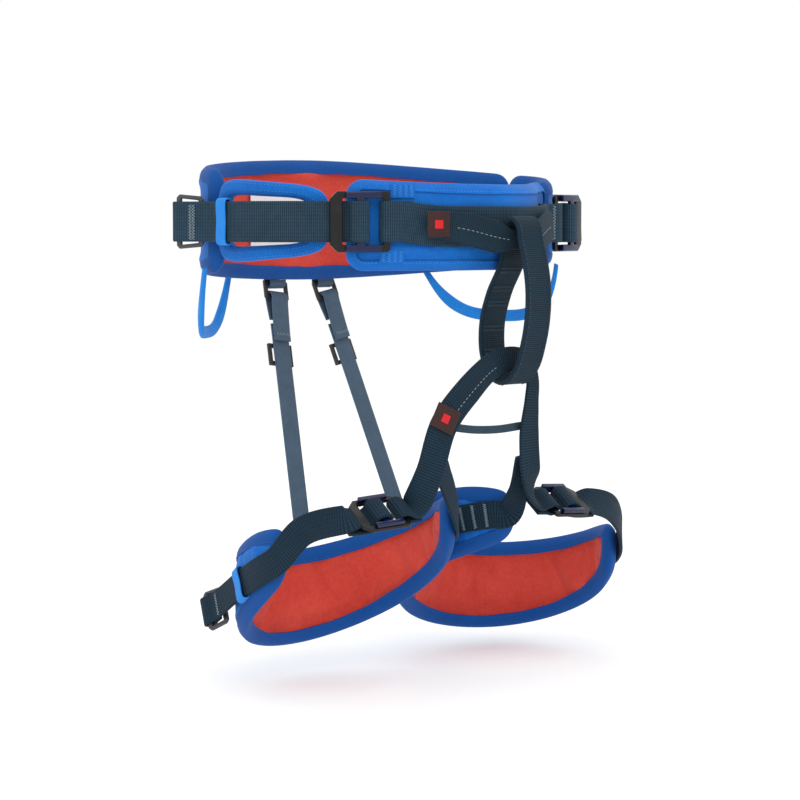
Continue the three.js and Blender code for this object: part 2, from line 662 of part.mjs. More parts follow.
function label() {
  const sizes = { inset: () => PAD / 2 + 0.9, thick: 0.6, corner: 1, bevel: 0 };
  const card = beltPad(174, 212, () => 19, () => -17, sizes);
  add("size_label", card, "label");
}

waistPads();
waistStraps();
frontStrap();
tieIn();
belayLoop();
bridge();
for (const [name, place] of Object.entries(buckles)) buckle(name, place);
for (const [side, leg] of Object.entries(LEGS)) {
  legPad(side, leg);
  legTail(side, leg, buckles[`leg_${side}`]);
  riser(side, leg);
}
innerStrap("right", LEGS.right, vec(-66, -92.5, -140), vec(-48, -85, -158));
innerStrap("left", LEGS.left, vec(18.5, -91, -148), vec(23, -82, -170));
gearLoop("gear_loop_left", 78, 128, 36);
gearLoop("gear_loop_right", -110, -145, 42);
label();

export default group;
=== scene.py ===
import math

import bmesh
import bpy
import numpy as np
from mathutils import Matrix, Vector


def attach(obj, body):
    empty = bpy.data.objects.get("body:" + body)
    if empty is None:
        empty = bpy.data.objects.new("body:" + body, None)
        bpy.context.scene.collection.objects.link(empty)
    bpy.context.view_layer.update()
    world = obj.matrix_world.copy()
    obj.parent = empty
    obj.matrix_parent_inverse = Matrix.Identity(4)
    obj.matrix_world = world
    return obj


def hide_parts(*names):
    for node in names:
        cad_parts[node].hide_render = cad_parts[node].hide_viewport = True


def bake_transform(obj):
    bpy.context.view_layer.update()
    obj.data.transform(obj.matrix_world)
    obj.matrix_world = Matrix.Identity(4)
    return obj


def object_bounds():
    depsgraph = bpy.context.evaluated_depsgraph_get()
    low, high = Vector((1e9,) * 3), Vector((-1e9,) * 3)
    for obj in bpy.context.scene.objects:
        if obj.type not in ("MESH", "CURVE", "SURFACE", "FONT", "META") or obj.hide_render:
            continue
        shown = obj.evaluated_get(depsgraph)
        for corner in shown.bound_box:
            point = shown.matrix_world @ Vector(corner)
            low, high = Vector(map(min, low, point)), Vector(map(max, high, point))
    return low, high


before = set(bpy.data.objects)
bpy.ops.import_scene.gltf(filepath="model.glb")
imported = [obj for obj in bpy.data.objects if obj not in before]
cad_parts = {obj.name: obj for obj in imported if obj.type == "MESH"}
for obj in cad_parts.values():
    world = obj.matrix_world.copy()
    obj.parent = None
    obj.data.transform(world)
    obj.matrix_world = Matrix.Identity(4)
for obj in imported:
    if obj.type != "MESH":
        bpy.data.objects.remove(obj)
cadLow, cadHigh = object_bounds()
mm = 0.001  # shapes below are worked out in millimetres and scaled as their meshes are made

# camera, light and floor

studio = {
    "distance": 1.6,
    "azimuth": -135,  # degrees, where the camera stands
    "aimHeight": -0.117,
    "aimRight": -0.0013,
    "span": 0.52,  # width of the view at the belt
    "floorDrop": 0.012,  # floor below the lowest point of the frame
    "sensor": 36,
    "worldLight": 1.0,
    "lamps": {  # place, size, power
        "keyLamp": ((-1.1, -1.3, 1.3), 1.0, 7.5),
        "fillLamp": ((-1.7, 0.5, 0.5), 1.4, 1.2),
        "rightLamp": ((0.7, -1.7, 0.4), 1.2, 2.5),
        "topLamp": ((0.1, 0.1, 1.7), 1.4, 3.5),
        "backLamp": ((0.9, 1.3, 0.8), 1.4, 2),
    },
}


def makeStudio(s):
    turn = math.radians(s["azimuth"])
    toCamera = Vector((math.cos(turn), math.sin(turn), 0))
    right = Vector((-toCamera.y, toCamera.x, 0))
    data = bpy.data.cameras.new("studioCamera")
    data.sensor_width = s["sensor"]
    data.lens = s["sensor"] * s["distance"] / s["span"]
    data.clip_end = 20
    camera = bpy.data.objects.new("studioCamera", data)
    bpy.context.scene.collection.objects.link(camera)
    aim = right * s["aimRight"] + Vector((0, 0, s["aimHeight"]))
    camera.location = toCamera * s["distance"] + right * s["aimRight"]
    camera.rotation_euler = (aim - camera.location).to_track_quat("-Z", "Y").to_euler()
    bpy.context.scene.camera = camera
    middle = Vector((0, 0, -0.12))
    for name, (place, size, power) in s["lamps"].items():
        lamp = bpy.data.lights.new(name, "AREA")
        lamp.shape = "DISK"
        lamp.size = size
        lamp.energy = power
        holder = bpy.data.objects.new(name, lamp)
        holder.location = place
        holder.rotation_euler = (middle - Vector(place)).to_track_quat("-Z", "Y").to_euler()
        bpy.context.scene.collection.objects.link(holder)
    world = bpy.data.worlds.new("studioWorld")
    world.use_nodes = True
    backdrop = world.node_tree.nodes["Background"]
    backdrop.inputs["Color"].default_value = (1, 1, 1, 1)
    backdrop.inputs["Strength"].default_value = s["worldLight"]
    bpy.context.scene.world = world
    bpy.context.scene.view_settings.view_transform = "Standard"


makeStudio(studio)
print("studio ready")

# shader helpers


def tint(red, green, blue, alpha=1):
    toLinear = lambda c: c / 12.92 if c <= 0.04045 else ((c + 0.055) / 1.055) ** 2.4
    return tuple(toLinear(c / 255) for c in (red, green, blue)) + (alpha,)


class Wire:
    def __init__(self, finish, socket):
        self.finish = finish
        self.socket = socket

    def maths(self, operation, *values):
        return self.finish.node("ShaderNodeMath", {"operation": operation}, list(values))

    def __add__(self, other):
        return self.maths("ADD", self, other)

    def __radd__(self, other):
        return self.maths("ADD", other, self)

    def __sub__(self, other):
        return self.maths("SUBTRACT", self, other)

    def __rsub__(self, other):
        return self.maths("SUBTRACT", other, self)

    def __mul__(self, other):
        return self.maths("MULTIPLY", self, other)

    def __rmul__(self, other):
        return self.maths("MULTIPLY", other, self)

    def sin(self):
        return self.maths("SINE", self)

    def power(self, value):
        return self.maths("POWER", self, value)

    def clamped(self, low=0, high=1):
        return self.maths("MINIMUM", self.maths("MAXIMUM", self, low), high)


class Finish:
    def __init__(self, name, **fixed):
        self.material = bpy.data.materials.new(name)
        self.material.use_nodes = True
        self.tree = self.material.node_tree
        self.shader = self.tree.nodes["Principled BSDF"]
        for socket, value in fixed.items():
            self.shader.inputs[socket.replace("_", " ")].default_value = value

    def put(self, socket, value):
        if isinstance(value, Wire):
            self.tree.links.new(value.socket, socket)
        else:
            socket.default_value = value

    def node(self, kind, settings=None, inputs=None, output=0):
        made = self.tree.nodes.new(kind)
        for key, value in (settings or {}).items():
            setattr(made, key, value)
        pairs = inputs.items() if isinstance(inputs, dict) else enumerate(inputs or [])
        for key, value in pairs:
            self.put(made.inputs[key], value)
        return Wire(self, made.outputs[output])

    def uv(self):
        where = self.node("ShaderNodeUVMap", {"uv_map": "cloth"})
        parts = self.tree.nodes.new("ShaderNodeSeparateXYZ")
        self.tree.links.new(where.socket, parts.inputs[0])
        return Wire(self, parts.outputs[0]), Wire(self, parts.outputs[1])

    def place(self):
        return self.node("ShaderNodeTexCoord", {}, [], output=3)

    def noise(self, scale, detail=3, rough=0.5):
        inputs = {"Vector": self.place(), "Scale": scale, "Detail": detail, "Roughness": rough}
        return self.node("ShaderNodeTexNoise", {}, inputs)

    def blend(self, share, one, other):
        made = self.tree.nodes.new("ShaderNodeMix")
        made.data_type = "RGBA"
        self.put(made.inputs[0], share)
        self.put(made.inputs[6], one)
        self.put(made.inputs[7], other)
        return Wire(self, made.outputs[2])

    def bump(self, height, distance):
        return self.node("ShaderNodeBump", {}, {"Strength": 1.0, "Distance": distance, "Height": height})

    def feed(self, **wires):
        for socket, value in wires.items():
            self.put(self.shader.inputs[socket.replace("_", " ")], value)
        return self.material


twoPi = 2 * math.pi


def webbingFinish(name, dark, light, pitch=1.15, yarn=1.5, depth=0.16, edge=0.5, grid=0.25):
    f = Finish(name, Specular_IOR_Level=0.18, Sheen_Weight=0.02, Sheen_Roughness=0.5)
    along, across = f.uv()
    wave = (along * (twoPi / (pitch * mm))).sin() * 0.5 + 0.5
    rib = wave.power(0.8)
    threads = ((across * (twoPi / (yarn * mm))).sin() * 0.5 + 0.5).power(1.5)
    wear = f.noise(160, 4, 0.6)
    broad = f.noise(24, 2)
    fuzz = f.noise(2600, 2, 0.7)
    share = (rib * edge + threads * rib * grid + (wear - 0.5) * 0.5 + (broad - 0.5) * 0.5).clamped()
    colour = f.blend(share, dark, light)
    height = rib + threads * 0.45 + fuzz * 0.25
    return f.feed(Base_Color=colour, Roughness=(0.62 + wear * 0.2), Normal=f.bump(height, depth * mm))


def clothFinish(name, base, light, pitch=0.7, depth=0.07, mottled=0.6, creases=0.0, sheen=0.1):
    f = Finish(name, Specular_IOR_Level=0.25, Sheen_Weight=sheen, Sheen_Roughness=0.45)
    along, across = f.uv()
    warp = (along * (twoPi / (pitch * mm))).sin()
    weft = (across * (twoPi / (pitch * mm))).sin()
    weave = warp * weft * 0.5 + 0.5
    patch = f.noise(38, 3)
    fine = f.noise(420, 3, 0.7)
    share = (weave * 0.28 + (patch - 0.5) * mottled + (fine - 0.5) * 0.8 + 0.3).clamped()
    colour = f.blend(share, base, light)
    height = weave + fine * 0.6 + f.noise(95, 3, 0.6) * creases
    return f.feed(Base_Color=colour, Roughness=(0.68 + fine * 0.22), Normal=f.bump(height, depth * mm))


def elasticFinish(name, dark, light):
    f = Finish(name, Specular_IOR_Level=0.3, Sheen_Weight=0.08)
    along, across = f.uv()
    cords = (across * (twoPi / (1.1 * mm))).sin() * 0.5 + 0.5
    knit = (along * (twoPi / (0.6 * mm))).sin() * 0.5 + 0.5
    wear = f.noise(130, 3, 0.6)
    colour = f.blend((cords * 0.45 + knit * 0.15 + (wear - 0.5) * 0.6 + 0.15).clamped(), dark, light)
    relief = f.bump(cords + knit * 0.4, 0.08 * mm)
    return f.feed(Base_Color=colour, Roughness=(0.7 + wear * 0.15), Normal=relief)


def metalFinish(name, colour, worn, roughness, metallic, coat):
    f = Finish(name, Metallic=metallic, Specular_IOR_Level=0.3, Coat_Weight=coat, Coat_Roughness=0.12)
    grain = f.noise(900, 3, 0.6)
    scuff = f.noise(60, 4, 0.65)
    share = ((scuff - 0.56) * 5).clamped() * 0.35
    rough = (roughness + (grain - 0.5) * 0.12 + share * 0.3).clamped()
    shown = f.blend(share, colour, worn)
    return f.feed(Base_Color=shown, Roughness=rough, Normal=f.bump(grain, 0.012 * mm))


def plasticFinish(name, colour, light):
    f = Finish(name, Specular_IOR_Level=0.45)
    grain = f.noise(1500, 2, 0.6)
    patch = f.noise(45, 3)
    colourNow = f.blend((patch * 0.6 + (grain - 0.5) * 0.5).clamped(), colour, light)
    return f.feed(Base_Color=colourNow, Roughness=(0.4 + grain * 0.2), Normal=f.bump(grain, 0.03 * mm))


def threadFinish(name, colour, light):
    f = Finish(name, Specular_IOR_Level=0.35, Sheen_Weight=0.1)
    twist = f.noise(1800, 2, 0.6)
    shown = f.blend(twist, colour, light)
    return f.feed(Base_Color=shown, Roughness=(0.5 + twist * 0.25), Normal=f.bump(twist, 0.05 * mm))


makes = {
    "waistWebbing": (webbingFinish, [tint(15, 32, 45), tint(46, 74, 92), 1.25, 2.2], dict(edge=0.75)),
    "denseWebbing": (
        webbingFinish, [tint(6, 26, 38), tint(27, 54, 70), 1.3, 1.25],
        dict(edge=0.45, grid=0.6),
    ),
    "legWebbing": (webbingFinish, [tint(5, 25, 38), tint(26, 54, 72), 1.7, 2.6], dict(edge=0.6)),
    "padBlue": (clothFinish, [tint(4, 84, 172), tint(12, 122, 212)], dict(creases=0.4)),
    "bindingBlue": (clothFinish, [tint(0, 62, 134), tint(0, 84, 160), 0.9], dict(mottled=0.5, sheen=0.05)),
    "liningRed": (clothFinish, [tint(186, 44, 34), tint(222, 84, 68), 0.8], dict(mottled=0.8, creases=1.2)),
    "brightElastic": (elasticFinish, [tint(6, 106, 196), tint(28, 150, 236)], dict()),
    "riserElastic": (elasticFinish, [tint(52, 72, 90), tint(84, 108, 128)], dict()),
    "darkElastic": (elasticFinish, [tint(20, 42, 56), tint(44, 70, 86)], dict()),
    "frameBlack": (metalFinish, [tint(7, 7, 9), tint(40, 38, 40), 0.3, 0.0, 0.12], dict()),
    "slideNavy": (metalFinish, [tint(0, 12, 60), tint(14, 40, 104), 0.2, 0.0, 0.3], dict()),
    "ringPlastic": (plasticFinish, [tint(58, 58, 62), tint(82, 82, 86)], dict()),
    "riserPlastic": (plasticFinish, [tint(26, 26, 29), tint(48, 48, 52)], dict()),
    "tagDark": (clothFinish, [tint(42, 24, 24), tint(70, 44, 42), 0.6], dict()),
    "tagRed": (clothFinish, [tint(190, 20, 30), tint(220, 44, 50), 0.5], dict()),
    "labelWhite": (clothFinish, [tint(214, 214, 216), tint(240, 240, 242), 0.5, 0.03, 0.3], dict()),
    "threadBlue": (threadFinish, [tint(20, 104, 196), tint(70, 160, 236)], dict()),
    "threadPale": (threadFinish, [tint(96, 116, 128), tint(150, 168, 178)], dict()),
    "threadDark": (threadFinish, [tint(20, 40, 54), tint(52, 76, 92)], dict()),
    "threadNavy": (threadFinish, [tint(10, 52, 128), tint(40, 96, 176)], dict()),
}
finishes = {name: make(name, *values, **named) for name, (make, values, named) in makes.items()}
print("finishes ready")

# geometry helpers


def vec(x, y, z):
    return np.array((x, y, z), float)


def unit(v):
    return v / max(np.linalg.norm(v), 1e-9)


def lerp(a, b, t):
    return a + (b - a) * t


def smooth(x, low, high):
    t = min(max((x - low) / (high - low), 0), 1)
    return t * t * (3 - 2 * t)


def curvePoint(points, t, closed):
    count = len(points)
    place = (count if closed else count - 1) * t
    i = int(math.floor(place))
    w = place - i
    if closed:
        i %= count
    elif i >= count - 1:
        i, w = count - 2, 1.0
    before = points[i - 1] if closed or i > 0 else points[0] * 2 - points[1]
    a, b = points[i], points[(i + 1) % count]
    after = points[(i + 2) % count] if closed or i + 2 < count else points[-1] * 2 - points[-2]
    gaps = [np.linalg.norm(q - p) ** 0.5 for p, q in ((before, a), (a, b), (b, after))]
    d1 = gaps[1] if gaps[1] > 1e-4 else 1.0
    d0 = gaps[0] if gaps[0] > 1e-4 else d1
    d2 = gaps[2] if gaps[2] > 1e-4 else d1
    m1 = ((a - before) / d0 - (b - before) / (d0 + d1) + (b - a) / d1) * d1
    m2 = ((b - a) / d1 - (after - a) / (d1 + d2) + (after - b) / d2) * d1
    return a + m1 * w + (-3 * a + 3 * b - 2 * m1 - m2) * w * w + (2 * a - 2 * b + m1 + m2) * w ** 3


def addObject(name, mesh, body, finishNames, replaced=()):
    for finish in finishNames:
        mesh.materials.append(finishes[finish])
    piece = bpy.data.objects.new(name, mesh)
    bpy.context.scene.collection.objects.link(piece)
    if body:
        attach(piece, body)
    if replaced:
        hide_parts(*replaced)
    return piece


# A closed skin over rings of points, with the cloth's own measures as its UV map.
def skinMesh(name, rings, us, vs, closed=False, finishOf=None, caps="fan", sharp=50):
    rows, count = rings.shape[:2]
    last = rows if closed else rows - 1
    i, j = np.meshgrid(np.arange(last), np.arange(count), indexing="ij")
    i, j = i.ravel(), j.ravel()
    n, k = (i + 1) % rows, (j + 1) % count
    faces = np.stack([i * count + j, n * count + j, n * count + k, i * count + k], 1)
    uvs = np.stack([
        np.stack([us[i], vs[j]], 1), np.stack([us[i + 1], vs[j]], 1),
        np.stack([us[i + 1], vs[j + 1]], 1), np.stack([us[i], vs[j + 1]], 1),
    ], 1)
    p = rings.reshape(-1, 3)
    quad = p[faces]
    volume = np.einsum("ij,ij->i", quad[:, 0], np.cross(quad[:, 1], quad[:, 2])).sum()
    volume += np.einsum("ij,ij->i", quad[:, 0], np.cross(quad[:, 2], quad[:, 3])).sum()
    faceList = [list(map(int, f)) for f in faces]
    uvList = [list(map(tuple, u)) for u in uvs]
    looks = [finishOf(a, b) for a, b in zip(i, j)] if finishOf else [0] * len(faceList)
    if not closed:
        for row, flip in ((0, False), (rows - 1, True)):
            base = row * count
            half = count // 2
            if caps == "pair":  # the two halves of the ring mirror each other
                quads = [(s, s + 1, count - 2 - s, count - 1 - s) for s in range(half - 1)]
            else:
                quads = [tuple(range(count))]
            for q in quads:
                ids = [base + s for s in q]
                ids = ids[::-1] if flip else ids
                faceList.append(ids)
                uvList.append([(float(us[row]), float(vs[s - base])) for s in ids])
                looks.append(finishOf(min(row, last - 1), q[0]) if finishOf else 0)
    if volume < 0:
        faceList = [f[::-1] for f in faceList]
        uvList = [u[::-1] for u in uvList]
    mesh = bpy.data.meshes.new(name)
    mesh.from_pydata((p * mm).tolist(), [], faceList)
    layer = mesh.uv_layers.new(name="cloth")
    flat = np.array([c for u in uvList for c in u], np.float32) * mm
    layer.data.foreach_set("uv", flat.ravel())
    mesh.polygons.foreach_set("material_index", looks)
    mesh.polygons.foreach_set("use_smooth", [True] * len(faceList))
    closing = bmesh.new()
    closing.from_mesh(mesh)
    bmesh.ops.recalc_face_normals(closing, faces=closing.faces)
    closing.to_mesh(mesh)
    closing.free()
    mesh.set_sharp_from_angle(angle=math.radians(sharp))
    mesh.update()
    return mesh


class Strap:
    def __init__(self, stations, width, thick, closed=False, step=1.5):
        at = [s[0] for s in stations]
        out = [s[1] for s in stations]
        widths = [s[2] if len(s) > 2 else width for s in stations]
        spans = len(at) if closed else len(at) - 1
        tries = np.linspace(0, 1, spans * 14 + 1)
        line = np.array([curvePoint(at, t if not (closed and t >= 1) else 0.0, closed) for t in tries])
        far = np.concatenate([[0], np.cumsum(np.linalg.norm(np.diff(line, axis=0), axis=1))])
        self.length = far[-1]
        self.steps = max(4, int(round(self.length / step)))
        wanted = np.linspace(0, self.length, self.steps + 1)
        self.ts = np.interp(wanted, far, tries)
        rows = self.ts[:-1] if closed else self.ts
        self.closed = closed
        self.centre = np.array([curvePoint(at, t, closed) for t in rows])
        face = np.array([curvePoint(out, t, closed) for t in rows])
        if closed:
            along = np.roll(self.centre, -1, 0) - np.roll(self.centre, 1, 0)
        else:
            along = np.gradient(self.centre, axis=0)
        self.along = along / np.linalg.norm(along, axis=1)[:, None]
        across = np.cross(self.along, face)
        self.across = across / np.linalg.norm(across, axis=1)[:, None]
        self.out = np.cross(self.across, self.along)
        place = rows * spans
        low = np.minimum(np.floor(place).astype(int), spans - 1)
        wide = np.array(widths, float)
        self.width = wide[low] + (wide[(low + 1) % len(wide)] - wide[low]) * (place - low)
        self.thick = thick
        self.far = wanted

    # A point on the strap: distance along it, share across it, height over its middle.
    def spot(self, far, across=0.0, height=0.0):
        i = min(max(far / self.length * self.steps, 0), len(self.centre) - 1.001)
        low = int(i)
        w = i - low
        mix = lambda field: field[low] * (1 - w) + field[low + 1] * w
        centre, side, out, along = mix(self.centre), mix(self.across), mix(self.out), mix(self.along)
        wide = self.width[low]
        at = centre + unit(side) * across * wide + unit(out) * (height + self.thick / 2)
        return at, unit(along), unit(out)

    def nearest(self, point):
        return float(self.far[int(np.argmin(np.linalg.norm(self.centre - point, axis=1)))])

    def mesh(self, name):
        shape = [
            (-0.5, 0.3), (-0.488, 0.75), (-0.46, 1), (-0.4, 0.97), (-0.2, 0.95), (0, 0.95),
            (0.2, 0.95), (0.4, 0.97), (0.46, 1), (0.488, 0.75), (0.5, 0.3),
        ]
        shape += [(a, -b) for a, b in reversed(shape)]
        rings = np.zeros((len(self.centre), len(shape), 3))
        for j, (a, b) in enumerate(shape):
            lift = b * self.thick / 2
            rings[:, j] = self.centre + self.across * (a * self.width)[:, None] + self.out * lift
        vs = np.array([a for a, b in shape] + [shape[0][0]]) * float(np.max(self.width))
        us = self.far if self.closed else np.append(self.far, self.far[-1])
        return skinMesh(name, rings, us, vs, self.closed)


def makeStrap(name, strap, body, finish, replaced=()):
    return addObject(name, strap.mesh(name), body, [finish], replaced)


# thread: every stitch is a small rounded bar laid by a node tree, gathered by body and thread

threadTree = {"length": "Length", "width": "Width", "height": "Height"}


def makeStitchTree():
    tree = bpy.data.node_groups.new("laidStitches", "GeometryNodeTree")
    face = tree.interface
    face.new_socket("Geometry", in_out="INPUT", socket_type="NodeSocketGeometry")
    sockets = {}
    for key in ("length", "width", "height"):
        made = face.new_socket(threadTree[key], in_out="INPUT", socket_type="NodeSocketFloat")
        sockets[key] = made.identifier
    made = face.new_socket("Thread", in_out="INPUT", socket_type="NodeSocketMaterial")
    sockets["thread"] = made.identifier
    face.new_socket("Geometry", in_out="OUTPUT", socket_type="NodeSocketGeometry")
    make = tree.nodes.new
    join = tree.links.new
    start, end = make("NodeGroupInput"), make("NodeGroupOutput")
    dot = make("GeometryNodeMeshToPoints")
    bead = make("GeometryNodeMeshUVSphere")
    bead.inputs["Segments"].default_value = 6
    bead.inputs["Rings"].default_value = 4
    bead.inputs["Radius"].default_value = 0.5
    turned = make("GeometryNodeTransform")
    turned.inputs["Rotation"].default_value = (0, math.pi / 2, 0)
    size = make("ShaderNodeCombineXYZ")
    shaped = make("GeometryNodeTransform")
    place = make("GeometryNodeInstanceOnPoints")
    rotations = []
    for attribute, axis, pivot in (("along", "X", "AUTO"), ("out", "Z", "X")):
        named = make("GeometryNodeInputNamedAttribute")
        named.data_type = "FLOAT_VECTOR"
        named.inputs["Name"].default_value = attribute
        align = make("FunctionNodeAlignRotationToVector")
        align.axis = axis
        align.pivot_axis = pivot
        join(named.outputs[0], align.inputs["Vector"])
        if rotations:
            join(rotations[-1].outputs[0], align.inputs["Rotation"])
        rotations.append(align)
    real = make("GeometryNodeRealizeInstances")
    colour = make("GeometryNodeSetMaterial")
    join(start.outputs[0], dot.inputs["Mesh"])
    join(dot.outputs[0], place.inputs["Points"])
    join(bead.outputs[0], turned.inputs["Geometry"])
    join(turned.outputs[0], shaped.inputs["Geometry"])
    for index, key in enumerate(("length", "width", "height")):
        join(start.outputs[threadTree[key]], size.inputs[index])
    join(size.outputs[0], shaped.inputs["Scale"])
    join(shaped.outputs[0], place.inputs["Instance"])
    join(rotations[-1].outputs[0], place.inputs["Rotation"])
    join(place.outputs[0], real.inputs[0])
    join(real.outputs[0], colour.inputs["Geometry"])
    join(start.outputs["Thread"], colour.inputs["Material"])
    join(colour.outputs[0], end.inputs[0])
    return tree, sockets


stitchTree, stitchSockets = makeStitchTree()
stitchJobs = {}


def sew(body, thread, at, along, out, kind="row"):
    stitchJobs.setdefault((body, thread, kind), []).append((at, along, out))


stitchSizes = {"row": (2.1, 0.55, 0.5), "tack": (2.6, 0.5, 0.5), "fine": (1.3, 0.45, 0.4)}


def laySeam(body, thread, spots, kind="row", pitch=2.9):
    points = np.array([s[0] for s in spots])
    outs = [s[-1] for s in spots]
    far = np.concatenate([[0], np.cumsum(np.linalg.norm(np.diff(points, axis=0), axis=1))])
    for d in np.arange(pitch / 2, far[-1], pitch):
        i = max(int(np.searchsorted(far, d)) - 1, 0)
        w = (d - far[i]) / max(far[i + 1] - far[i], 1e-9)
        at = points[i] * (1 - w) + points[i + 1] * w
        sew(body, thread, at, unit(points[i + 1] - points[i]), unit(outs[i]), kind)


def seamAlong(strap, body, thread, start, end, across, kind="row", pitch=2.9, height=0.1):
    count = max(3, int(abs(end - start) / 2))
    spots = [strap.spot(d, across, height) for d in np.linspace(start, end, count)]
    laySeam(body, thread, spots, kind, pitch)


# A bar tack: close zigzag threads over a short length of strap.
def barTack(strap, body, thread, far, reach=0.8, pitch=0.75, height=0.15, side=1):
    wide = float(np.max(strap.width)) * reach / 2
    for k, across in enumerate(np.arange(-wide, wide, pitch)):
        share = across / float(np.max(strap.width))
        at, along, out = strap.spot(far, share, height if side > 0 else -height - strap.thick)
        lean = unit(np.cross(out, along)) * (0.35 if k % 2 else -0.35)
        sew(body, thread, at, unit(along + lean), out * side, "tack")


def finishStitches():
    for (body, thread, kind), rows in stitchJobs.items():
        name = f"{thread}_{kind}_{body}"
        mesh = bpy.data.meshes.new(name)
        mesh.from_pydata([tuple(r[0] * mm) for r in rows], [], [])
        for index, attribute in ((1, "along"), (2, "out")):
            layer = mesh.attributes.new(attribute, "FLOAT_VECTOR", "POINT")
            layer.data.foreach_set("vector", np.array([r[index] for r in rows], np.float32).ravel())
        holder = bpy.data.objects.new(name, mesh)
        bpy.context.scene.collection.objects.link(holder)
        maker = holder.modifiers.new("stitches", "NODES")
        maker.node_group = stitchTree
        for key, value in zip(("length", "width", "height"), stitchSizes[kind]):
            maker[stitchSockets[key]] = value * mm
        maker[stitchSockets["thread"]] = finishes[thread]
        bpy.context.view_layer.update()
        made = bpy.data.meshes.new_from_object(holder.evaluated_get(bpy.context.evaluated_depsgraph_get()))
        bpy.data.objects.remove(holder)
        made.name = name
        for attribute in ("along", "out"):
            if attribute in made.attributes:
                made.attributes.remove(made.attributes[attribute])
        made.polygons.foreach_set("use_smooth", [True] * len(made.polygons))
        piece = bpy.data.objects.new(name, made)
        bpy.context.scene.collection.objects.link(piece)
        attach(piece, body)


# plan of the belt and the leg loops, in the same numbers as the frame

beltPlan = {"halfWidth": 126, "front": 86, "back": 93, "frontPower": 1.5, "backPower": 3}
padThick, webThick, gap = 8, 2.2, 0.5
waistWidth, legWidth = 25, 18  # of the webbing
keeperTurns = ((1, 0), (0.93, 1), (0, 1.08), (-0.93, 1), (-1, 0), (-0.93, -1), (0, -1.08), (0.93, -1))
tailLift = padThick / 2 + 6.9
legs = {
    "right": dict(
        s=-1, x=70, y=-20, radius=63.6, level=-211.5, tilt=33.5, highAt=5,
        buckleAt=30, padFrom=78, padTo=320, keeperAt=112, rise=-4,
    ),
    "left": dict(
        s=1, x=80, y=-19, radius=70, level=-222, tilt=33, highAt=-38,
        buckleAt=-19, padFrom=46, padTo=316, keeperAt=112, rise=3,
    ),
}
waistBuckle = {"length": 37, "height": 37, "thick": 2.6, "bar": 4, "thickBar": 7.5}
legBuckle = {"length": 32, "height": 29, "thick": 2.4, "bar": 3.6, "thickBar": 6}
buckles = {
    "waist_right": [waistBuckle, vec(-92, -56, -1), vec(-0.81, 0.586, 0), vec(-0.586, -0.81, 0)],
    "waist_left": [waistBuckle, vec(90, -63, -2), vec(0.972, 0.235, 0), vec(0.235, -0.972, 0)],
    "leg_right": [legBuckle, vec(-104, -84, -176), vec(-0.95, 0.27, -0.08), vec(-0.14, -0.5, 0.85)],
    "leg_left": [legBuckle, vec(58, -89, -181), vec(0.98, -0.12, -0.06), vec(0, -0.55, 0.83)],
}
for entry in buckles.values():
    entry[2] = unit(entry[2])
    entry[3] = unit(entry[3] - entry[2] * entry[3].dot(entry[2]))
    entry.append(entry[1] + entry[2] * (entry[0]["bar"] / 2 - entry[0]["length"] / 2))


def belt(angle, offset=0.0, z=0.0):
    p = beltPlan
    a = math.radians(angle)
    front = math.cos(a) > 0
    depth = p["front"] if front else p["back"]
    power = p["frontPower"] if front else p["backPower"]
    total = abs(math.sin(a) / p["halfWidth"]) ** power + abs(math.cos(a) / depth) ** power
    r = total ** (-1 / power)
    at = vec(r * math.sin(a), -r * math.cos(a), z)
    out = unit(vec(
        math.copysign(abs(at[0]) ** (power - 1) / p["halfWidth"] ** power, at[0]),
        math.copysign(abs(at[1]) ** (power - 1) / depth ** power, at[1]),
        0,
    ))
    return at + out * offset, out


def thigh(leg, angle, offset=0.0, rise=0.0):
    a = math.radians(angle)
    out = vec(leg["s"] * math.sin(a), -math.cos(a), 0)
    z = leg["level"] + leg["tilt"] * math.cos(math.radians(angle - leg["highAt"])) + rise
    return vec(leg["s"] * leg["x"], leg["y"], z) + out * (leg["radius"] + offset), out


def eye(centre, along, out, width, thick=webThick, radius=3.7, lap=8, space=gap):
    spot = lambda a, b: centre + along * a + out * b
    turned = lambda a, b: along * a + out * b
    stations = [(spot(-2.4 * radius, 0), out, width)]
    stations.append((spot(-0.9 * radius, 0.78 * radius), turned(-0.5, 0.87), width))
    for angle in (90, 45, 0, -45, -90):
        a, b = math.cos(math.radians(angle)), math.sin(math.radians(angle))
        stations.append((spot(a * radius, b * radius), turned(a, b), width))
    stations.append((spot(-0.9 * radius, -0.78 * radius), turned(-0.5, -0.87), width))
    stations.append((spot(-2.4 * radius, -thick - space), turned(0, -1), width))
    stations.append((spot(-2.4 * radius - lap, -thick - space), turned(0, -1), width))
    return stations


# pads: a sewn edge, a blown-up middle, and a tape folded over the edge


clothSettings = {"pressure": 4.0, "frames": 20, "shrink": -0.045, "mass": 0.25, "stretch": 12, "bend": 0.4}


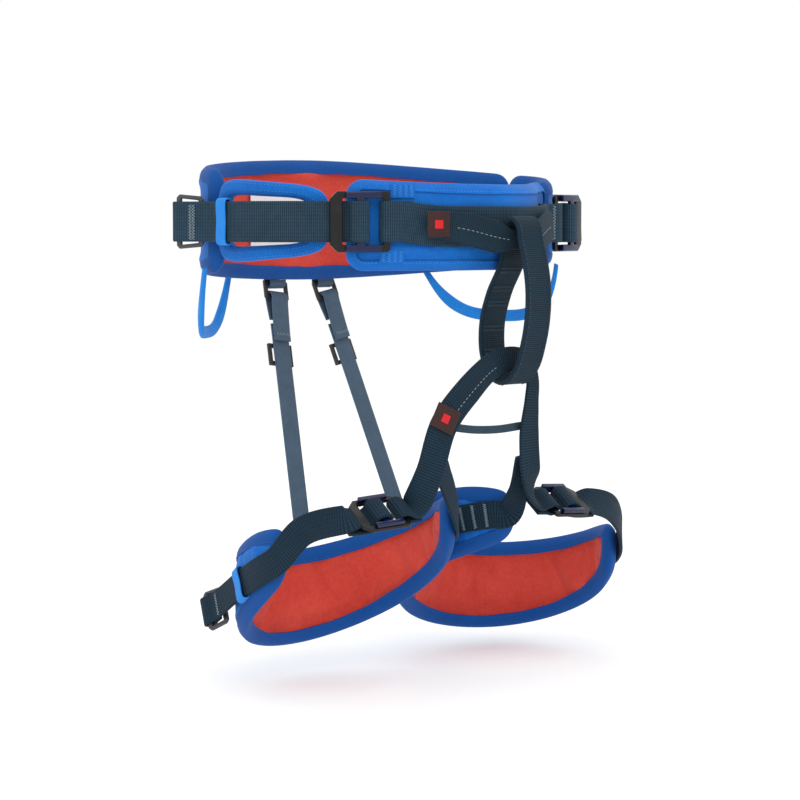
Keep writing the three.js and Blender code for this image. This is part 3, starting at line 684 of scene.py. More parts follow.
# Blows the pad up as cloth with its sewn edge held, and caps how far a point may move.
def swell(piece, pinned, cap):
    c = clothSettings
    rest = np.zeros(len(piece.data.vertices) * 3)
    piece.data.vertices.foreach_get("co", rest)
    rest = rest.reshape(-1, 3)
    group = piece.vertex_groups.new(name="sewn")
    for index, weight in enumerate(pinned):
        if weight > 0:
            group.add([index], float(weight), "REPLACE")
    cloth = piece.modifiers.new("swell", "CLOTH")
    s = cloth.settings
    s.vertex_group_mass = "sewn"
    s.use_pressure = True
    s.uniform_pressure_force = c["pressure"]
    s.shrink_min = c["shrink"]
    s.quality = 6
    s.mass = c["mass"]
    s.tension_stiffness = s.compression_stiffness = c["stretch"]
    s.bending_stiffness = c["bend"]
    s.effector_weights.gravity = 0
    cloth.collision_settings.use_collision = False
    scene = bpy.context.scene
    scene.frame_start, scene.frame_end = 1, c["frames"]
    cloth.point_cache.frame_start, cloth.point_cache.frame_end = 1, c["frames"]
    for number in range(1, c["frames"] + 1):
        scene.frame_set(number)
    blown = piece.evaluated_get(bpy.context.evaluated_depsgraph_get())
    found = np.zeros(len(rest) * 3)
    blown.data.vertices.foreach_get("co", found)
    moved = found.reshape(-1, 3) - rest
    far = np.linalg.norm(moved, axis=1)
    moved *= np.minimum(1, cap * mm / np.maximum(far, 1e-9))[:, None]
    piece.modifiers.remove(cloth)
    piece.vertex_groups.remove(group)
    scene.frame_set(1)
    return rest + moved


class Pad:
    tape = 8.0  # width that the sewn tape holds down
    taper = 7.0  # width over which the pad thins to its edge

    def __init__(self, name, body, length, place, edges, corner, step=3.4):
        self.name, self.body, self.length, self.place, self.edges = name, body, length, place, edges
        self.corner, self.step = corner, step

    # Heights of the pad's edges at a distance from its start, with the corners rounded off.
    def heights(self, far):
        low, high = self.edges(far / self.length)
        near = min(far, self.length - far)
        r = self.corner
        cut = 0 if near >= r else r - math.sqrt(max(r * r - (r - near) ** 2, 0))
        return low + cut * min(1, (high - low) / 2 / r), high - cut * min(1, (high - low) / 2 / r)

    def half(self, depth):
        w = min(depth / self.taper, 1)
        return padThick / 2 * math.sqrt(max(1 - (1 - w) ** 2, 0))

    def mesh(self, finishOf):
        ends = [0.5, 1.4, 2.8, 4.6, 7.0]
        inner = np.linspace(10, self.length - 10, max(3, int(self.length / self.step)))
        fars = np.array(ends + list(inner) + [self.length - e for e in reversed(ends)])
        rim = [0.0, 0.012, 0.035, 0.075, 0.13]
        across = rim + list(np.linspace(0.19, 0.81, 12)) + [0.87, 0.925, 0.965, 0.988, 1.0]
        count = len(across)
        rings, pins = [], []
        for far in fars:
            low, high = self.heights(far)
            at, out = self.place(far)
            near = min(far, self.length - far)
            face, lining, pinned = [], [], []
            for a in across:
                z = lerp(low, high, a)
                depth = min(z - low, high - z, near)
                half = max(self.half(depth), 0.15)
                face.append(vec(at[0], at[1], at[2] + z) + out * half)
                lining.append(vec(at[0], at[1], at[2] + z) - out * half)
                pinned.append(1.0 if depth < self.tape - 0.5 else 0.0)
            rings.append(face + lining[::-1])
            pins += pinned + pinned[::-1]
        vs = [lerp(low, high, a) for a in across]
        vs = np.array(vs + [2 * vs[-1] - v for v in reversed(vs)] + [vs[0]])
        us = np.append(fars, fars[-1])
        made = skinMesh(self.name, np.array(rings), us, vs, False, finishOf(count), "pair", 70)
        return made, pins

    def outline(self, step=2.2):
        fars = [0.0, 0.25, 0.7, 1.3, 2.1, 3.2, 4.6, 6.4, 8.6, 11]
        fars += list(np.linspace(14, self.length - 14, max(3, int((self.length - 28) / step))))
        fars += [self.length - f for f in reversed(fars[:10])]
        top = [(f, self.heights(f)[1]) for f in fars]
        low = [(f, self.heights(f)[0]) for f in reversed(fars)]
        points = []
        for f, z in top + low:
            at, out = self.place(f)
            points.append((vec(at[0], at[1], at[2] + z), out))
        return points


# Tape folded over a closed edge line of (point, out) pairs.
def foldedTape(name, line, body, width, half, finish="bindingBlue", stitch="threadNavy"):
    cover, step = 1.15, 2.0
    points = [p for p, o in line]
    keep = [0]
    for i in range(1, len(points)):
        if np.linalg.norm(points[i] - points[keep[-1]]) > 0.8:
            keep.append(i)
    if np.linalg.norm(points[keep[-1]] - points[0]) < 0.8:
        keep.pop()
    points = np.array([points[i] for i in keep])
    outs = np.array([line[i][1] for i in keep])
    far = np.concatenate([[0], np.cumsum(np.linalg.norm(np.roll(points, -1, 0) - points, axis=1))])
    count = int(far[-1] / step)
    wanted = np.linspace(0, far[-1], count + 1)[:-1]
    loopPoints = np.vstack([points, points[:1]])
    loopOuts = np.vstack([outs, outs[:1]])
    at = np.stack([np.interp(wanted, far, loopPoints[:, c]) for c in range(3)], 1)
    out = np.stack([np.interp(wanted, far, loopOuts[:, c]) for c in range(3)], 1)
    out /= np.linalg.norm(out, axis=1)[:, None]
    along = np.roll(at, -2, 0) - np.roll(at, 2, 0)
    along /= np.linalg.norm(along, axis=1)[:, None]
    inward = np.cross(out, along)
    inward /= np.linalg.norm(inward, axis=1)[:, None]
    if ((at.mean(0) - at) * inward).sum() < 0:
        inward = -inward
    depths = [width, width - 0.15, width * 0.78, width * 0.5, width * 0.25, width * 0.08, 0.0]
    leaf = [(d, half(d) + (0.2 if i == 0 else cover)) for i, d in enumerate(depths[:-1])]
    turn = [(-cover * math.sin(t), (half(0.1) + cover) * math.cos(t)) for t in (0.5, 1.1, 1.57, 2.04, 2.64)]
    shape = leaf + turn + [(d, -h) for d, h in reversed(leaf)]
    under = [(width * share, half(width * share) + 0.08) for share in (0.3, 0.6)]
    shape += [(d, -h) for d, h in reversed(under)] + under
    wobble = np.array([math.sin(w * 0.21) * 0.12 + math.sin(w * 0.083 + 1) * 0.16 for w in wanted])
    rings = np.zeros((count, len(shape), 3))
    for j, (d, h) in enumerate(shape):
        push = wobble * (d / width)
        rings[:, j] = at + inward * (d + push)[:, None] + out * h
    girth = np.concatenate([[0], np.cumsum([math.dist(a, b) for a, b in zip(shape, shape[1:])])])
    vs = np.append(girth, girth[-1] + 1)
    us = np.append(wanted, far[-1])
    piece = addObject(name, skinMesh(name, rings, us, vs, True, None), body, [finish])
    for side in (1, -1):
        d = width - 1.4
        lift = side * (half(d) + cover * 0.95)
        spots = [(at[i] + inward[i] * d + out[i] * lift, out[i] * side) for i in range(count)]
        laySeam(body, stitch, spots, "fine", 2.3)
    return piece


def finishPad(pad, outerFinish, innerFinish, replaced, cap, limit=None):
    made, pins = pad.mesh(lambda count: (lambda i, j: 0 if j < count - 1 or j == 2 * count - 1 else 1))
    piece = addObject(pad.name, made, None, [outerFinish, innerFinish])
    found = swell(piece, pins, cap)
    if limit is not None:
        rest = np.zeros(len(made.vertices) * 3)
        made.vertices.foreach_get("co", rest)
        found = limit(rest.reshape(-1, 3), found)
    made.vertices.foreach_set("co", found.ravel())
    made.update()
    smoother = piece.modifiers.new("rounder", "SUBSURF")
    smoother.levels = smoother.render_levels = 1
    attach(piece, pad.body)
    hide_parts(*replaced)
    return piece


def beltTable(start, end, offset=lambda angle: 0.0):
    angles = np.linspace(start, end, 160)
    points = np.array([belt(a, offset(a))[0] for a in angles])
    far = np.concatenate([[0], np.cumsum(np.linalg.norm(np.diff(points, axis=0), axis=1))])

    def place(distance):
        angle = float(np.interp(distance, far, angles))
        return belt(angle, offset(angle))

    return far[-1], place


frontInset = lambda angle: -7 * math.exp(-(((angle - 50) / 20) ** 2))

waistPads = {
    "waist_pad_back": dict(span=(100, 254), inset=lambda a: 0.0, outer="padBlue",
                           edges=lambda t: (-31 - 8 * math.sin(math.pi * t), 30 + 9 * math.sin(math.pi * t))),
    "waist_pad_left": dict(span=(61, 99), inset=frontInset, outer="padBlue",
                           edges=lambda t: (lerp(-29, -31, t), lerp(24, 30, t))),
    "waist_pad_front": dict(span=(-64, 60), inset=frontInset, outer="padBlue",
                            edges=lambda t: (-30, 24 - 3 * math.sin(math.pi * t))),
}


# Webbing and the label press the pad flat, so the middle of its faces can't rise much.
def pressedTo(height):
    def press(rest, found):
        moved = found - rest
        flat = np.abs(rest[:, 2]) < height * mm
        keep = np.linalg.norm(moved, axis=1)
        moved[flat] *= np.minimum(1, 0.5 * mm / np.maximum(keep[flat], 1e-9))[:, None]
        return rest + moved

    return press


for name, entry in waistPads.items():
    length, place = beltTable(*entry["span"], entry["inset"])
    pad = Pad(name, "waist_belt", length, place, entry["edges"], corner=10)
    flatHeight = 22 if name == "waist_pad_back" else 15
    finishPad(pad, entry["outer"], "liningRed", [name], 2.6, pressedTo(flatHeight))
    tape = (5, pad.half, "padBlue", "threadBlue") if name == "waist_pad_front" else (8, pad.half)
    foldedTape(f"{name}_binding", pad.outline(), "waist_belt", *tape)
print("waist pads sewn")

wing = {"from": -105.6, "to": -69.5, "slotFrom": -102, "slotTo": -75}


# The wing on the wearer's right is one padded band round a long slot.
def makeWing(w):
    table = [belt(a)[0] for a in np.linspace(w["from"], w["to"], 90)]
    far = np.concatenate([[0], np.cumsum(np.linalg.norm(np.diff(np.array(table), axis=0), axis=1))])
    angleAt = lambda d: float(np.interp(d, far, np.linspace(w["from"], w["to"], 90)))
    farAt = lambda a: float(np.interp(a, np.linspace(w["from"], w["to"], 90), far))
    length = far[-1]
    s0, s1 = farAt(w["slotFrom"]), farAt(w["slotTo"])
    rim = lambda d: (lerp(-28, -21, d / length), lerp(27, 20.5, d / length))
    slotRim = lambda d: (lerp(-17, -14, (d - s0) / (s1 - s0)), lerp(16, 13, (d - s0) / (s1 - s0)))

    def loop(low, high, a, b, radius, turn):
        c, s = math.cos(turn), math.sin(turn)
        middle, half = (a + b) / 2, (b - a) / 2
        x = middle + half * math.copysign(abs(c) ** radius, c)
        lo, hi = low(x), high(x)
        return x, (lo + hi) / 2 + (hi - lo) / 2 * math.copysign(abs(s) ** radius, s)

    turns = np.linspace(0, twoPi, 121)[:-1]
    rings, us = [], []
    count = 18
    for turn in turns:
        xo, zo = loop(lambda d: rim(d)[0], lambda d: rim(d)[1], 0, length, 0.42, turn)
        xi, zi = loop(lambda d: slotRim(d)[0], lambda d: slotRim(d)[1], s0, s1, 0.36, turn)
        ring = []
        for k in range(count):
            t = twoPi * k / count
            share = 0.5 - 0.5 * math.copysign(abs(math.cos(t)) ** 0.8, math.cos(t))
            high = math.copysign(abs(math.sin(t)) ** 0.55, math.sin(t)) * 3.9
            x, z = lerp(xi, xo, share), lerp(zi, zo, share)
            at, out = belt(angleAt(x), high, z)
            ring.append(at)
        rings.append(ring)
    rings = np.array(rings)
    us = np.concatenate([[0], np.cumsum(np.linalg.norm(np.roll(rings[:, 5], -1, 0) - rings[:, 5], axis=1))])
    vs = np.linspace(0, 34, count + 1)
    made = skinMesh("waist_pad_right_wing", rings, us, vs, True, None)
    piece = addObject("waist_pad_right_wing", made, "waist_belt", ["padBlue"], ["waist_pad_right_wing"])
    smoother = piece.modifiers.new("rounder", "SUBSURF")
    smoother.levels = smoother.render_levels = 1
    for share, kind in ((4, "fine"), (6, "fine")):
        spots = []
        for i in range(len(turns)):
            at = rings[i, share]
            toward = unit(rings[i, share] - rings[i, 18 - share])
            spots.append((at + toward * 0.15, toward))
        spots.append(spots[0])
        laySeam("waist_belt", "threadBlue", spots, kind, 2.4)


makeWing(wing)


creases = {
    "right": dict(
        at=(107, 115, 122, 131, 147), depth=(0.8, 1.2, 1.3, 0.8, 0.6),
        width=2.3, lean=-5, reach=0.85,
    ),
    "left": dict(
        at=(121, 129, 137, 147), depth=(0.6, 0.7, 0.7, 0.5),
        width=2.3, lean=-4, reach=0.8,
    ),
}


# Sets shallow creases in the lining, which is the face towards the leg's middle.
def creased(side, leg):
    c = creases[side]

    def press(rest, found):
        plan = rest[:, :2] / mm - vec(leg["s"] * leg["x"], leg["y"], 0)[:2]
        radius = np.linalg.norm(plan, axis=1)
        lining = radius < leg["radius"] - padThick * 0.3
        rows = len(rest)
        middle = np.array([thigh(leg, a)[0] for a in np.linspace(leg["padFrom"], leg["padTo"], 181)])
        turns = np.linspace(0, leg["padTo"] - leg["padFrom"], 181)
        moved = found.copy()
        for i in range(rows):
            if not lining[i]:
                continue
            near = int(np.argmin(((middle[:, :2] - rest[i, :2] / mm) ** 2).sum(1)))
            rise = rest[i, 2] / mm - middle[near, 2]
            fade = max(0, 1 - (abs(rise) / (26 * c["reach"])) ** 3)
            push = 0.0
            for at, depth in zip(c["at"], c["depth"]):
                push += depth * math.exp(-(((turns[near] - at - c["lean"] * rise / 26) / c["width"]) ** 2))
            moved[i, :2] += plan[i] / radius[i] * push * fade * mm
        return moved

    return press


def legPad(side, leg):
    angles = np.linspace(leg["padFrom"], leg["padTo"], 240)
    points = np.array([thigh(leg, a)[0] for a in angles])
    flat = points * vec(1, 1, 0.6)
    far = np.concatenate([[0], np.cumsum(np.linalg.norm(np.diff(flat, axis=0), axis=1))])
    length = far[-1]

    def place(distance):
        return thigh(leg, float(np.interp(distance, far, angles)))

    def edges(share):
        share = min(max(share, 0), 1)
        ends = math.sqrt(max(0, 1 - max(0, 1 - 9 * min(share, 1 - share)) ** 2))
        height = lerp(34, 59, math.sin(math.pi * share ** 0.9) ** 0.8) * lerp(0.62, 1, ends)
        return -height / 2, height / 2

    pad = Pad(f"leg_pad_{side}", "leg_loops", length, place, edges, corner=9, step=2.0)
    finishPad(pad, "padBlue", "liningRed", [f"leg_pad_{side}"], 2.6, creased(side, leg))
    foldedTape(f"leg_pad_{side}_binding", pad.outline(), "leg_loops", 8, pad.half)


for side, leg in legs.items():
    legPad(side, leg)
print("leg pads sewn")

patches = {
    "front_pad_tab_upper": dict(angles=(-50, -41), level=17.5, tall=9, offset=0.9),
    "front_pad_tab_lower": dict(angles=(-54, -45), level=-22.5, tall=8, offset=0.9),
}


# Folded tabs bar-tacked on the front pad's face.
def padTab(name, p):
    inset = frontInset
    face = [belt(a, inset(a) + padThick / 2 + p["offset"], p["level"]) for a in np.linspace(*p["angles"], 6)]
    tab = Strap(face, p["tall"], 0.9, step=1)
    makeStrap(name, tab, "waist_belt", "padBlue")
    for share in (0.15, 0.38, 0.62, 0.85):
        barTack(tab, "waist_belt", "threadBlue", tab.length * share, 0.8)


for name, entry in patches.items():
    padTab(name, entry)

# webbing


# The strap's turn over a slide block: up through the frame, over the block's bar and back underneath.
def blockFold(entry, width):
    size, at, along, out = entry[:4]
    spot = lambda a, b: at + along * a + out * b
    turned = lambda a, b: along * a + out * b
    top = size["thick"] * 1.5 + 0.3 + 1.3
    window = size["length"] / 2 - size["thickBar"]
    return [
        (spot(size["length"] / 2 + 2, -1.1), turned(0, 1), width),
        (spot(window - 0.6, -3.0), turned(-0.3, 0.95), width),
        (spot(size["bar"] * 0.6 + 3.4, -0.6), turned(0.75, 0.66), width),
        (spot(size["bar"] * 0.6 + 2.6, top - 1.3), turned(0.9, 0.44), width),
        (spot(0.6, top), turned(0.05, 1), width),
        (spot(-size["bar"] * 0.6 - 1.5, top - 1.2), turned(-0.9, 0.44), width),
        (spot(-size["bar"] * 0.6 - 1.9, 0.2), turned(-1, 0), width),
        (spot(-size["bar"] * 0.6 - 0.2, -3.6), turned(-0.7, -0.7), width),
        (spot(size["bar"] * 0.6 + 3, -5.4), turned(-0.1, -1), width),
        (spot(size["length"] / 2 - 3, -5.8), turned(0, -1), width),
    ]


def waistStraps():
    around = [(*belt(a, padThick / 2 + webThick / 2 + 2 * gap, -1),) for a in range(80, 281, 8)]
    back = Strap(around, waistWidth, webThick)
    makeStrap("waist_webbing", back, "waist_belt", "waistWebbing", ["waist_webbing"])
    for side, s in (("right", -1), ("left", 1)):
        entry = buckles[f"waist_{side}"]
        out = unit(vec(s * 0.99, 0.14, 0))
        along = vec(-s * out[1], s * out[0], 0)
        centre = vec(s * 139.5, 57, -1)
        stations = [(*belt(s * a, tailLift, -1),) for a in (72, 80, 88, 96, 104)]
        stations += eye(centre, along, out, 25, radius=3.3, lap=2, space=1.5)
        under = [(*belt(s * a, padThick / 2 + webThick / 2 + 1.4, -1),) for a in (84, 77)]
        under = [(p, -o) for p, o in under]
        stations = under + blockFold(entry, 25)[::-1] + stations
        strap = Strap(stations, waistWidth, webThick)
        piece = addObject(f"waist_tail_{side}", strap.mesh(f"waist_tail_{side}"), None, ["waistWebbing"])
        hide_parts(f"waist_tail_{side}")
        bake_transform(piece)
        lap = strap.nearest(centre - along * 14 + out * 1.1)
        for shift in (0, 2.2):
            barTack(strap, "waist_belt", "threadPale", lap + shift, 0.86, pitch=0.9)
        held = belt(s * 98, tailLift, -1)
        ringStations = []
        for z, n in keeperTurns:
            point = held[0] + held[1] * n * (webThick / 2 + 1) + vec(0, 0, z * (12.5 + 1.6))
            ringStations.append((point, vec(held[1][0] * n, held[1][1] * n, z)))
        keeper = Strap(ringStations, 9, 1, True, 0.9)
        makeStrap(f"waist_keeper_{side}", keeper, "waist_belt", "brightElastic", [f"waist_keeper_{side}"])


waistStraps()


def frontStraps():
    right, left = buckles["waist_right"], buckles["waist_left"]
    middle = [
        (vec(-50, -79.5, -3.6), vec(-0.45, -0.9, 0)), (vec(-24, -91, -4), vec(-0.28, -0.96, 0)),
        (vec(0, -93.6, -4), vec(0, -1, 0)), (vec(24, -89.5, -4), vec(0.3, -0.95, 0)),
        (vec(46, -81, -3), vec(0.45, -0.9, 0)),
    ]
    rightEye = eye(right[4], right[2], right[3], waistWidth)[::-1]
    stations = rightEye + middle + eye(left[4], left[2], left[3], waistWidth)
    front = Strap(stations, waistWidth, webThick)
    makeStrap("front_strap", front, "waist_belt", "waistWebbing", ["front_strap"])
    for spot in (vec(-66, -70, -3), vec(-64, -71, -3), vec(70, -68, -3)):
        barTack(front, "waist_belt", "threadPale", front.nearest(spot), 0.86, pitch=1.0)
    sleeveStations = [
        (vec(-56, -83.5, -2.5), vec(-0.5, -0.87, 0.05), 17),
        (vec(-38, -93.3, -5.5), vec(-0.42, -0.9, 0.1), 20),
        (vec(-19, -101.5, -10.5), vec(-0.26, -0.96, 0.1), 20), (vec(-9, -104, -12), vec(0, -1, 0), 12.5),
        (vec(0, -104.5, -12), vec(0, -1, 0), 12.5), (vec(9, -104, -12), vec(0, -1, 0), 12.5),
        (vec(19, -101.2, -10.5), vec(0.3, -0.96, 0.1), 20), (vec(37, -92, -5.5), vec(0.45, -0.9, 0.1), 20),
        (vec(52, -83, -3), vec(0.5, -0.87, 0.05), 17),
    ]
    sleeve = Strap(sleeveStations, 20, 2.6)
    makeStrap("tie_in_sleeve", sleeve, "waist_belt", "denseWebbing", ["tie_in_sleeve"])
    seamAlong(sleeve, "waist_belt", "threadPale", 14, 52, 0.02, pitch=3.1)
    seamAlong(sleeve, "waist_belt", "threadPale", sleeve.length - 46, sleeve.length - 10, 0.02, pitch=3.1)


frontStraps()


def makeBelayLoop():
    outline = [
        (0, 1), (-5.9, -3.5), (-7.6, -12), (-11, -24), (-14, -42), (-13.5, -60), (-10, -77),
        (-4, -92), (6, -100.6),
        (17.5, -97), (24, -84), (24.5, -64), (18.5, -45), (9.5, -29), (6, -18), (5.7, -10), (4.6, -3.5),
    ]
    points = [vec(0, -104.5 + y, z) for y, z in outline]
    middle = vec(0, -99.5, -50)
    loop = Strap([(p, unit((p - middle) * vec(0, 1, 1))) for p in points], 22, 3, True)
    if loop.across[0][0] < 0:
        loop.across = -loop.across
        loop.out = -loop.out
    fixed = np.cross(vec(1, 0, 0), loop.along)
    outward = np.sign(((loop.centre - middle) * fixed).sum())
    loop.across[:] = vec(1, 0, 0)
    loop.out = fixed * outward
    makeStrap("belay_loop", loop, "belay_loop", "denseWebbing", ["belay_loop"])
    for across in (-0.42, 0.42):
        seamAlong(loop, "belay_loop", "threadDark", 2, loop.length - 3, across, pitch=3.0)
    for z in (-25, -40, -52, -68, -82):
        far = loop.nearest(vec(0, -84, z))
        for shift in (-1.2, 1.2):
            barTack(loop, "belay_loop", "threadDark", far + shift, 0.8, side=-1)
            barTack(loop, "belay_loop", "threadDark", far + shift, 0.8)


makeBelayLoop()


def legStraps():
    right, left = buckles["leg_right"], buckles["leg_left"]
    middle = [
        (vec(-74, -97, -153), vec(-0.33, -0.93, 0.2), 18), (vec(-61, -97, -124), vec(-0.28, -0.96, 0), 19),
        (vec(-40, -98.5, -103), vec(-0.15, -0.99, 0), 19), (vec(-18, -98.5, -89), vec(0, -1, 0), 17),
        (vec(0, -98.5, -86), vec(0, -1, 0), 15), (vec(11, -98.5, -88), vec(0, -1, 0), 12),
        (vec(17.8, -98, -99), vec(0, -1, 0), 10), (vec(17, -98, -114), vec(0, -1, 0), 12),
        (vec(16, -97, -134), vec(0, -1, 0), 17), (vec(19, -96, -160), vec(0, -1, 0.1), 18),
    ]
    rightEye = eye(right[4], right[2], right[3], legWidth, lap=3)[::-1]
    stations = rightEye + middle + eye(left[4], left[2], left[3], legWidth, lap=3)
    bridge = Strap(stations, legWidth, webThick)
    makeStrap("leg_bridge_strap", bridge, "leg_loops", "legWebbing", ["leg_bridge_strap"])
    a = bridge.nearest(vec(-61, -97, -124))
    b = bridge.nearest(vec(-18, -98.5, -89))
    seamAlong(bridge, "leg_loops", "threadPale", a, b, 0.12, pitch=3.1)
    for side, leg in legs.items():
        entry = buckles[f"leg_{side}"]
        size, at, along, out = entry[:4]
        layer = padThick / 2 + webThick / 2 + 2
        start = at + along * (size["length"] / 2 + 2)
        first = leg["buckleAt"] + 36
        turned = unit(lerp(out, thigh(leg, first)[1], 0.6))
        stations = [(start, out), (start + along * 5, turned)]
        angle = first
        while angle < leg["keeperAt"] - 4:
            near = smooth(angle, first - 12, leg["padFrom"] + 6)
            point, face = thigh(leg, angle, lerp(4, layer, near), leg["rise"])
            point[2] = lerp(start[2] - 3, point[2], near)
            stations.append((point, face))
            angle += 14
        leave, leaveOut = thigh(leg, leg["keeperAt"], layer + 0.4, leg["rise"])
        way = unit(leave - thigh(leg, leg["keeperAt"] - 10, layer, leg["rise"])[0])
        way = unit(way + vec(0, 0, -0.1))
        face = unit(leaveOut - way * leaveOut.dot(way))
        centre = leave + way * 43 + face * 3
        stations.append((leave, face))
        stations += eye(centre, way, face, 18, radius=3.3, lap=2)
        fold = blockFold(entry, 18)[::-1]
        fold[-1] = (at + along * (size["length"] / 2 + 0.5), out, 18)
        under = (at + along * (size["length"] / 2 + 7) - out * 5.2, -out)
        strap = Strap([under] + fold + stations[1:], legWidth, webThick)
        piece = addObject(f"leg_tail_{side}", strap.mesh(f"leg_tail_{side}"), None, ["legWebbing"])
        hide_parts(f"leg_tail_{side}")
        blendFrom, blendTo = tuple((at + along * 34) * mm), tuple((at + along * 9) * mm)
        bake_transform(piece)
        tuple(blendFrom)
        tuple(blendTo)
        lap = strap.nearest(centre - way * 13 + face * 1.1)
        barTack(strap, "leg_loops", "threadPale", lap, 0.8, pitch=0.9)
        held, heldOut = thigh(leg, leg["keeperAt"] - 2, layer, leg["rise"])
        up = unit(np.cross(way, heldOut))
        ring = []
        for z, n in keeperTurns:
            ring.append((held + heldOut * (n * 2.1 + 0.1) + up * z * (9 + 1.6), heldOut * n + up * z))
        keeper = Strap(ring, 9, 0.9, True, 0.9)
        makeStrap(f"leg_keeper_{side}", keeper, "leg_loops", "brightElastic", [f"leg_keeper_{side}"])
    for side, top, middlePoint in (("right", vec(-66, -92.5, -140), vec(-48, -85, -158)),
                                   ("left", vec(18.5, -91, -148), vec(23, -82, -170))):
        leg = legs[side]
        lift = padThick / 2 + webThick / 2 + 1.2
        stations = [thigh(leg, leg["padTo"] + a, lift, 2) for a in (-28, -19, -10, -3)]
        stations.append((middlePoint, vec(-0.2 - leg["s"] * 0.2, -0.95, 0), 13))
        stations.append((top, vec(leg["s"] * 0.2 - 0.3, -0.95, 0), 15))
        inner = Strap(stations, legWidth, webThick)
        makeStrap(f"leg_inner_strap_{side}", inner, "leg_loops", "legWebbing", [f"leg_inner_strap_{side}"])
        for far in (4, 12, 20):
            barTack(inner, "leg_loops", "threadPale", far, 0.8)
    cord = Strap([(vec(-52, -93.5, -126), vec(0, -1, 0)), (vec(-30, -93.2, -129), vec(0, -1, 0)),
                  (vec(-8, -93, -130), vec(0, -1, 0)), (vec(12, -93.5, -129), vec(0, -1, 0))], 5, 2)
    makeStrap("cross_elastic", cord, "leg_loops", "darkElastic", ["cross_elastic"])


legStraps()
print("webbing laid")


def riserStraps(side, leg):
    foot = thigh(leg, 201, padThick / 2 + 2.2, 34)[0]
    top = vec(leg["s"] * 22, 98.6, -42)
    down = unit(foot - top)
    across = unit(vec(1, 0, 0) - down * down[0])
    out = -np.cross(across, down)
    drop = lambda distance, offset=0.0: top + down * distance + out * offset
    fold = Strap([
        (top + vec(0, 0.6, 18), vec(0, 1, 0)), (top + vec(0, 0.6, 8), vec(0, 1, 0)),
        (top + vec(0, 3, 3), vec(0, 1, 0.3)),
        (top + vec(0, 3, -1), vec(0, 1, -0.4)), (top + vec(0, 0, -3.4), vec(0, 0, -1)),
        (top + vec(0, -3, -1), vec(0, -1, -0.4)), (top + vec(0, -2.9, 2), vec(0, -1, 0.2)),
    ], 14, 1.2, step=0.9)
    makeStrap(f"riser_tab_{side}", fold, "waist_belt", "riserElastic", [f"riser_tab_{side}"])
    barTack(fold, "waist_belt", "threadPale", 6, 0.8)
    upper = Strap([
        (drop(26, -1.6), -out), (drop(14, -3), -out), (drop(9.8, -3.1), -out - down * 0.4),
        (drop(6.7, 0), -down),
        (drop(9.8, 3.1), out - down * 0.4), (drop(16, 2.6), out), (drop(34, 1.4), out), (drop(41, 1.3), out),
    ], 14, 1.2, step=1.1)
    makeStrap(f"riser_upper_{side}", upper, f"riser_{side}", "riserElastic", [f"riser_upper_{side}"])
    barTack(upper, f"riser_{side}", "threadPale", upper.nearest(drop(37, 1.4)), 0.8, pitch=1.3)
    length = np.linalg.norm(foot - top)
    lowerLine = [(drop(29, -1), out)] + [(drop(d, -0.8), out) for d in (60, 100, length - 3)]
    lower = Strap(lowerLine, 14, 1.4)
    makeStrap(f"riser_lower_{side}", lower, f"riser_{side}", "riserElastic", [f"riser_lower_{side}"])


for side, leg in legs.items():
    riserStraps(side, leg)


def gearLoop(name, start, end, drop):
    a, b = belt(start, padThick / 2 + 3.1, -30), belt(end, padThick / 2 + 3.1, -30)
    steps = 90
    rings, far = [], [0.0]
    centres = []
    profile = [(math.cos(t), math.sin(t)) for t in np.linspace(0, twoPi, 17)[:-1]]
    for i in range(steps + 1):
        share = i / steps
        at, out = belt(lerp(start, end, share), padThick / 2 + 3.1)
        sag = 1 - abs(2 * share - 1) ** 3.2
        chord = lerp(a[0], b[0], share)
        centre = vec(lerp(at[0], chord[0], 0.3 * sag), lerp(at[1], chord[1], 0.3 * sag), -30 - drop * sag)
        steep = drop * 6.4 * abs(2 * share - 1) ** 2.2 * math.copysign(1, 2 * share - 1)
        along = unit(b[0] - a[0] + vec(0, 0, steep))
        across = unit(np.cross(along, out))
        face = unit(np.cross(across, along))
        full = smooth(min(share, 1 - share), 0, 0.2)
        wide, thick = lerp(4, 8, full) / 2, lerp(3, 4, full) / 2
        ring = []
        for c, s in profile:
            flatter, deeper = (math.copysign(abs(v) ** 0.7, v) for v in (c, s))
            ring.append(centre + across * wide * flatter + face * thick * deeper)
        rings.append(ring)
        centres.append(centre)
    us = np.concatenate([[0], np.cumsum(np.linalg.norm(np.diff(np.array(centres), axis=0), axis=1))])
    us = np.append(us, us[-1])
    made = skinMesh(name, np.array(rings), us, np.linspace(0, 20, 17), False, None)
    addObject(name, made, name, ["brightElastic"], [name])


gearLoop("gear_loop_left", 78, 128, 36)
gearLoop("gear_loop_right", -110, -145, 42)
print("risers and gear loops laid")

# hard parts: the frame's own solids with their edges eased


def easedCopy(node, body, finish, edge):
    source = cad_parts[node]
    mesh = source.data.copy()
    mesh.materials.clear()
    made = bmesh.new()
    made.from_mesh(mesh)
    bmesh.ops.remove_doubles(made, verts=made.verts, dist=2e-5)
    bmesh.ops.dissolve_limit(made, angle_limit=math.radians(2), verts=made.verts, edges=made.edges)
    sharp = [e for e in made.edges if len(e.link_faces) == 2 and e.calc_face_angle(0) > math.radians(25)]
    rounding = dict(offset=edge * mm, segments=3, profile=0.6, affect="EDGES", clamp_overlap=True)
    bmesh.ops.bevel(made, geom=sharp, **rounding)
    bmesh.ops.recalc_face_normals(made, faces=made.faces)
    made.to_mesh(mesh)
    made.free()
    mesh.polygons.foreach_set("use_smooth", [True] * len(mesh.polygons))
    mesh.set_sharp_from_angle(angle=math.radians(40))
    return addObject(f"{node}_eased", mesh, body, [finish], [node])


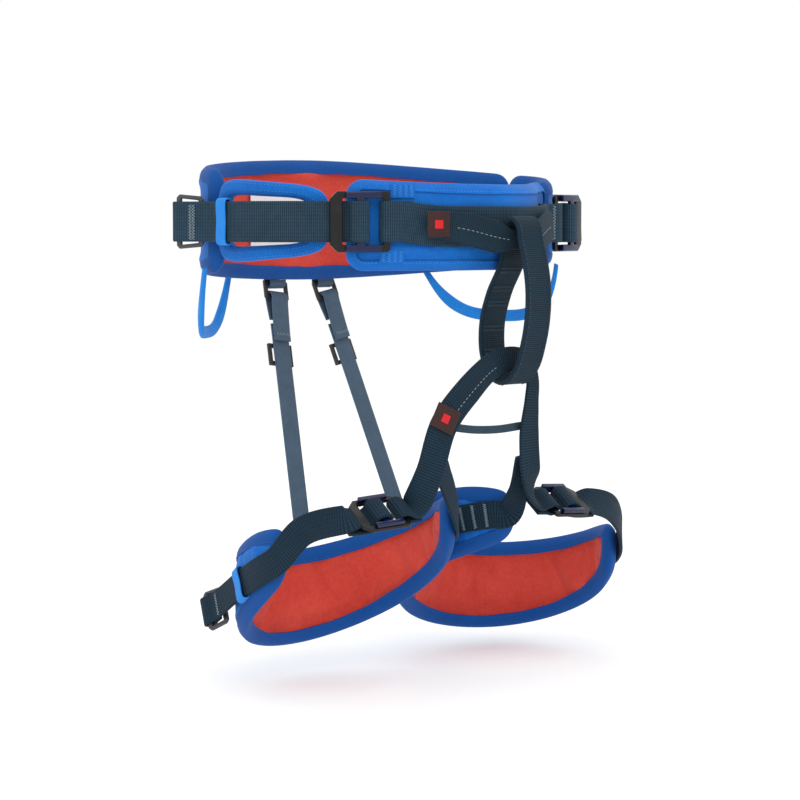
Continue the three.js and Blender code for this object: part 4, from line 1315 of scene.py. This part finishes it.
for key in buckles:
    easedCopy(f"{key}_buckle_frame", f"{key}_buckle", "frameBlack", 0.55)
    easedCopy(f"{key}_buckle_slider", f"{key}_slider", "slideNavy", 0.6)
for side in legs:
    easedCopy(f"waist_end_ring_{side}", f"waist_end_ring_{side}", "ringPlastic", 0.8)
    easedCopy(f"leg_end_ring_{side}", f"leg_end_ring_{side}", "ringPlastic", 0.7)
    easedCopy(f"riser_ring_{side}", f"riser_{side}", "riserPlastic", 0.5)
    easedCopy(f"riser_slider_{side}", f"riser_slider_{side}", "riserPlastic", 0.5)
print("hard parts eased")

# tags and the size label


def makeTag(name, body, at, along, out, wide, tall, node):
    cardLine = [(at - along * wide / 2, out), (at, out), (at + along * wide / 2, out)]
    card = Strap(cardLine, tall, 1.0, step=1.2)
    makeStrap(name, card, body, "tagDark", [node])
    patchHalf = 2.6
    patchLine = [(at + along * shift + out * 0.62, out) for shift in (-patchHalf, 0, patchHalf)]
    patch = Strap(patchLine, 2 * patchHalf, 0.3, step=1)
    makeStrap(f"{name}_patch", patch, body, "tagRed")


tagOut = unit(vec(-0.5, -0.87, 0))
tagAlong = vec(tagOut[1], -tagOut[0], 0)
makeTag("tie_in_tag", "waist_belt", vec(-55.2, -86.8, -2.6), tagAlong, tagOut, 14, 16, "tie_in_tag")
bridgeOut = unit(vec(-0.28, -0.96, 0))
bridgeAlong = vec(0.45, 0, 0.893)
bridgeAlong = unit(bridgeAlong - bridgeOut * bridgeAlong.dot(bridgeOut))
makeTag("bridge_tag", "leg_loops", vec(-62.4, -99.4, -120), bridgeAlong, bridgeOut, 15, 17, "bridge_tag")


def sizeLabel():
    stations = [(*belt(a, -padThick / 2 - 0.9 - 0.35, 1),) for a in np.linspace(174, 212, 12)]
    card = Strap([(p, -o) for p, o in stations], 36, 0.6, step=3)
    makeStrap("size_label", card, "waist_belt", "labelWhite", ["size_label"])


sizeLabel()
finishStitches()
print("stitches laid")


# floor


def makeFloor():
    f = Finish("floorPaper", Specular_IOR_Level=0.1, Emission_Color=(1, 1, 1, 1), Emission_Strength=0.1)
    paper = f.blend(f.noise(3, 2), (0.9, 0.9, 0.9, 1), (0.92, 0.92, 0.92, 1))
    floorPaper = f.feed(Base_Color=paper, Roughness=0.95)
    mesh = bpy.data.meshes.new("floor")
    low = cadLow[2] - studio["floorDrop"]
    mesh.from_pydata([(-9, -9, low), (9, -9, low), (9, 9, low), (-9, 9, low)], [], [(0, 1, 2, 3)])
    mesh.materials.append(floorPaper)
    floor = bpy.data.objects.new("floor", mesh)
    bpy.context.scene.collection.objects.link(floor)


makeFloor()
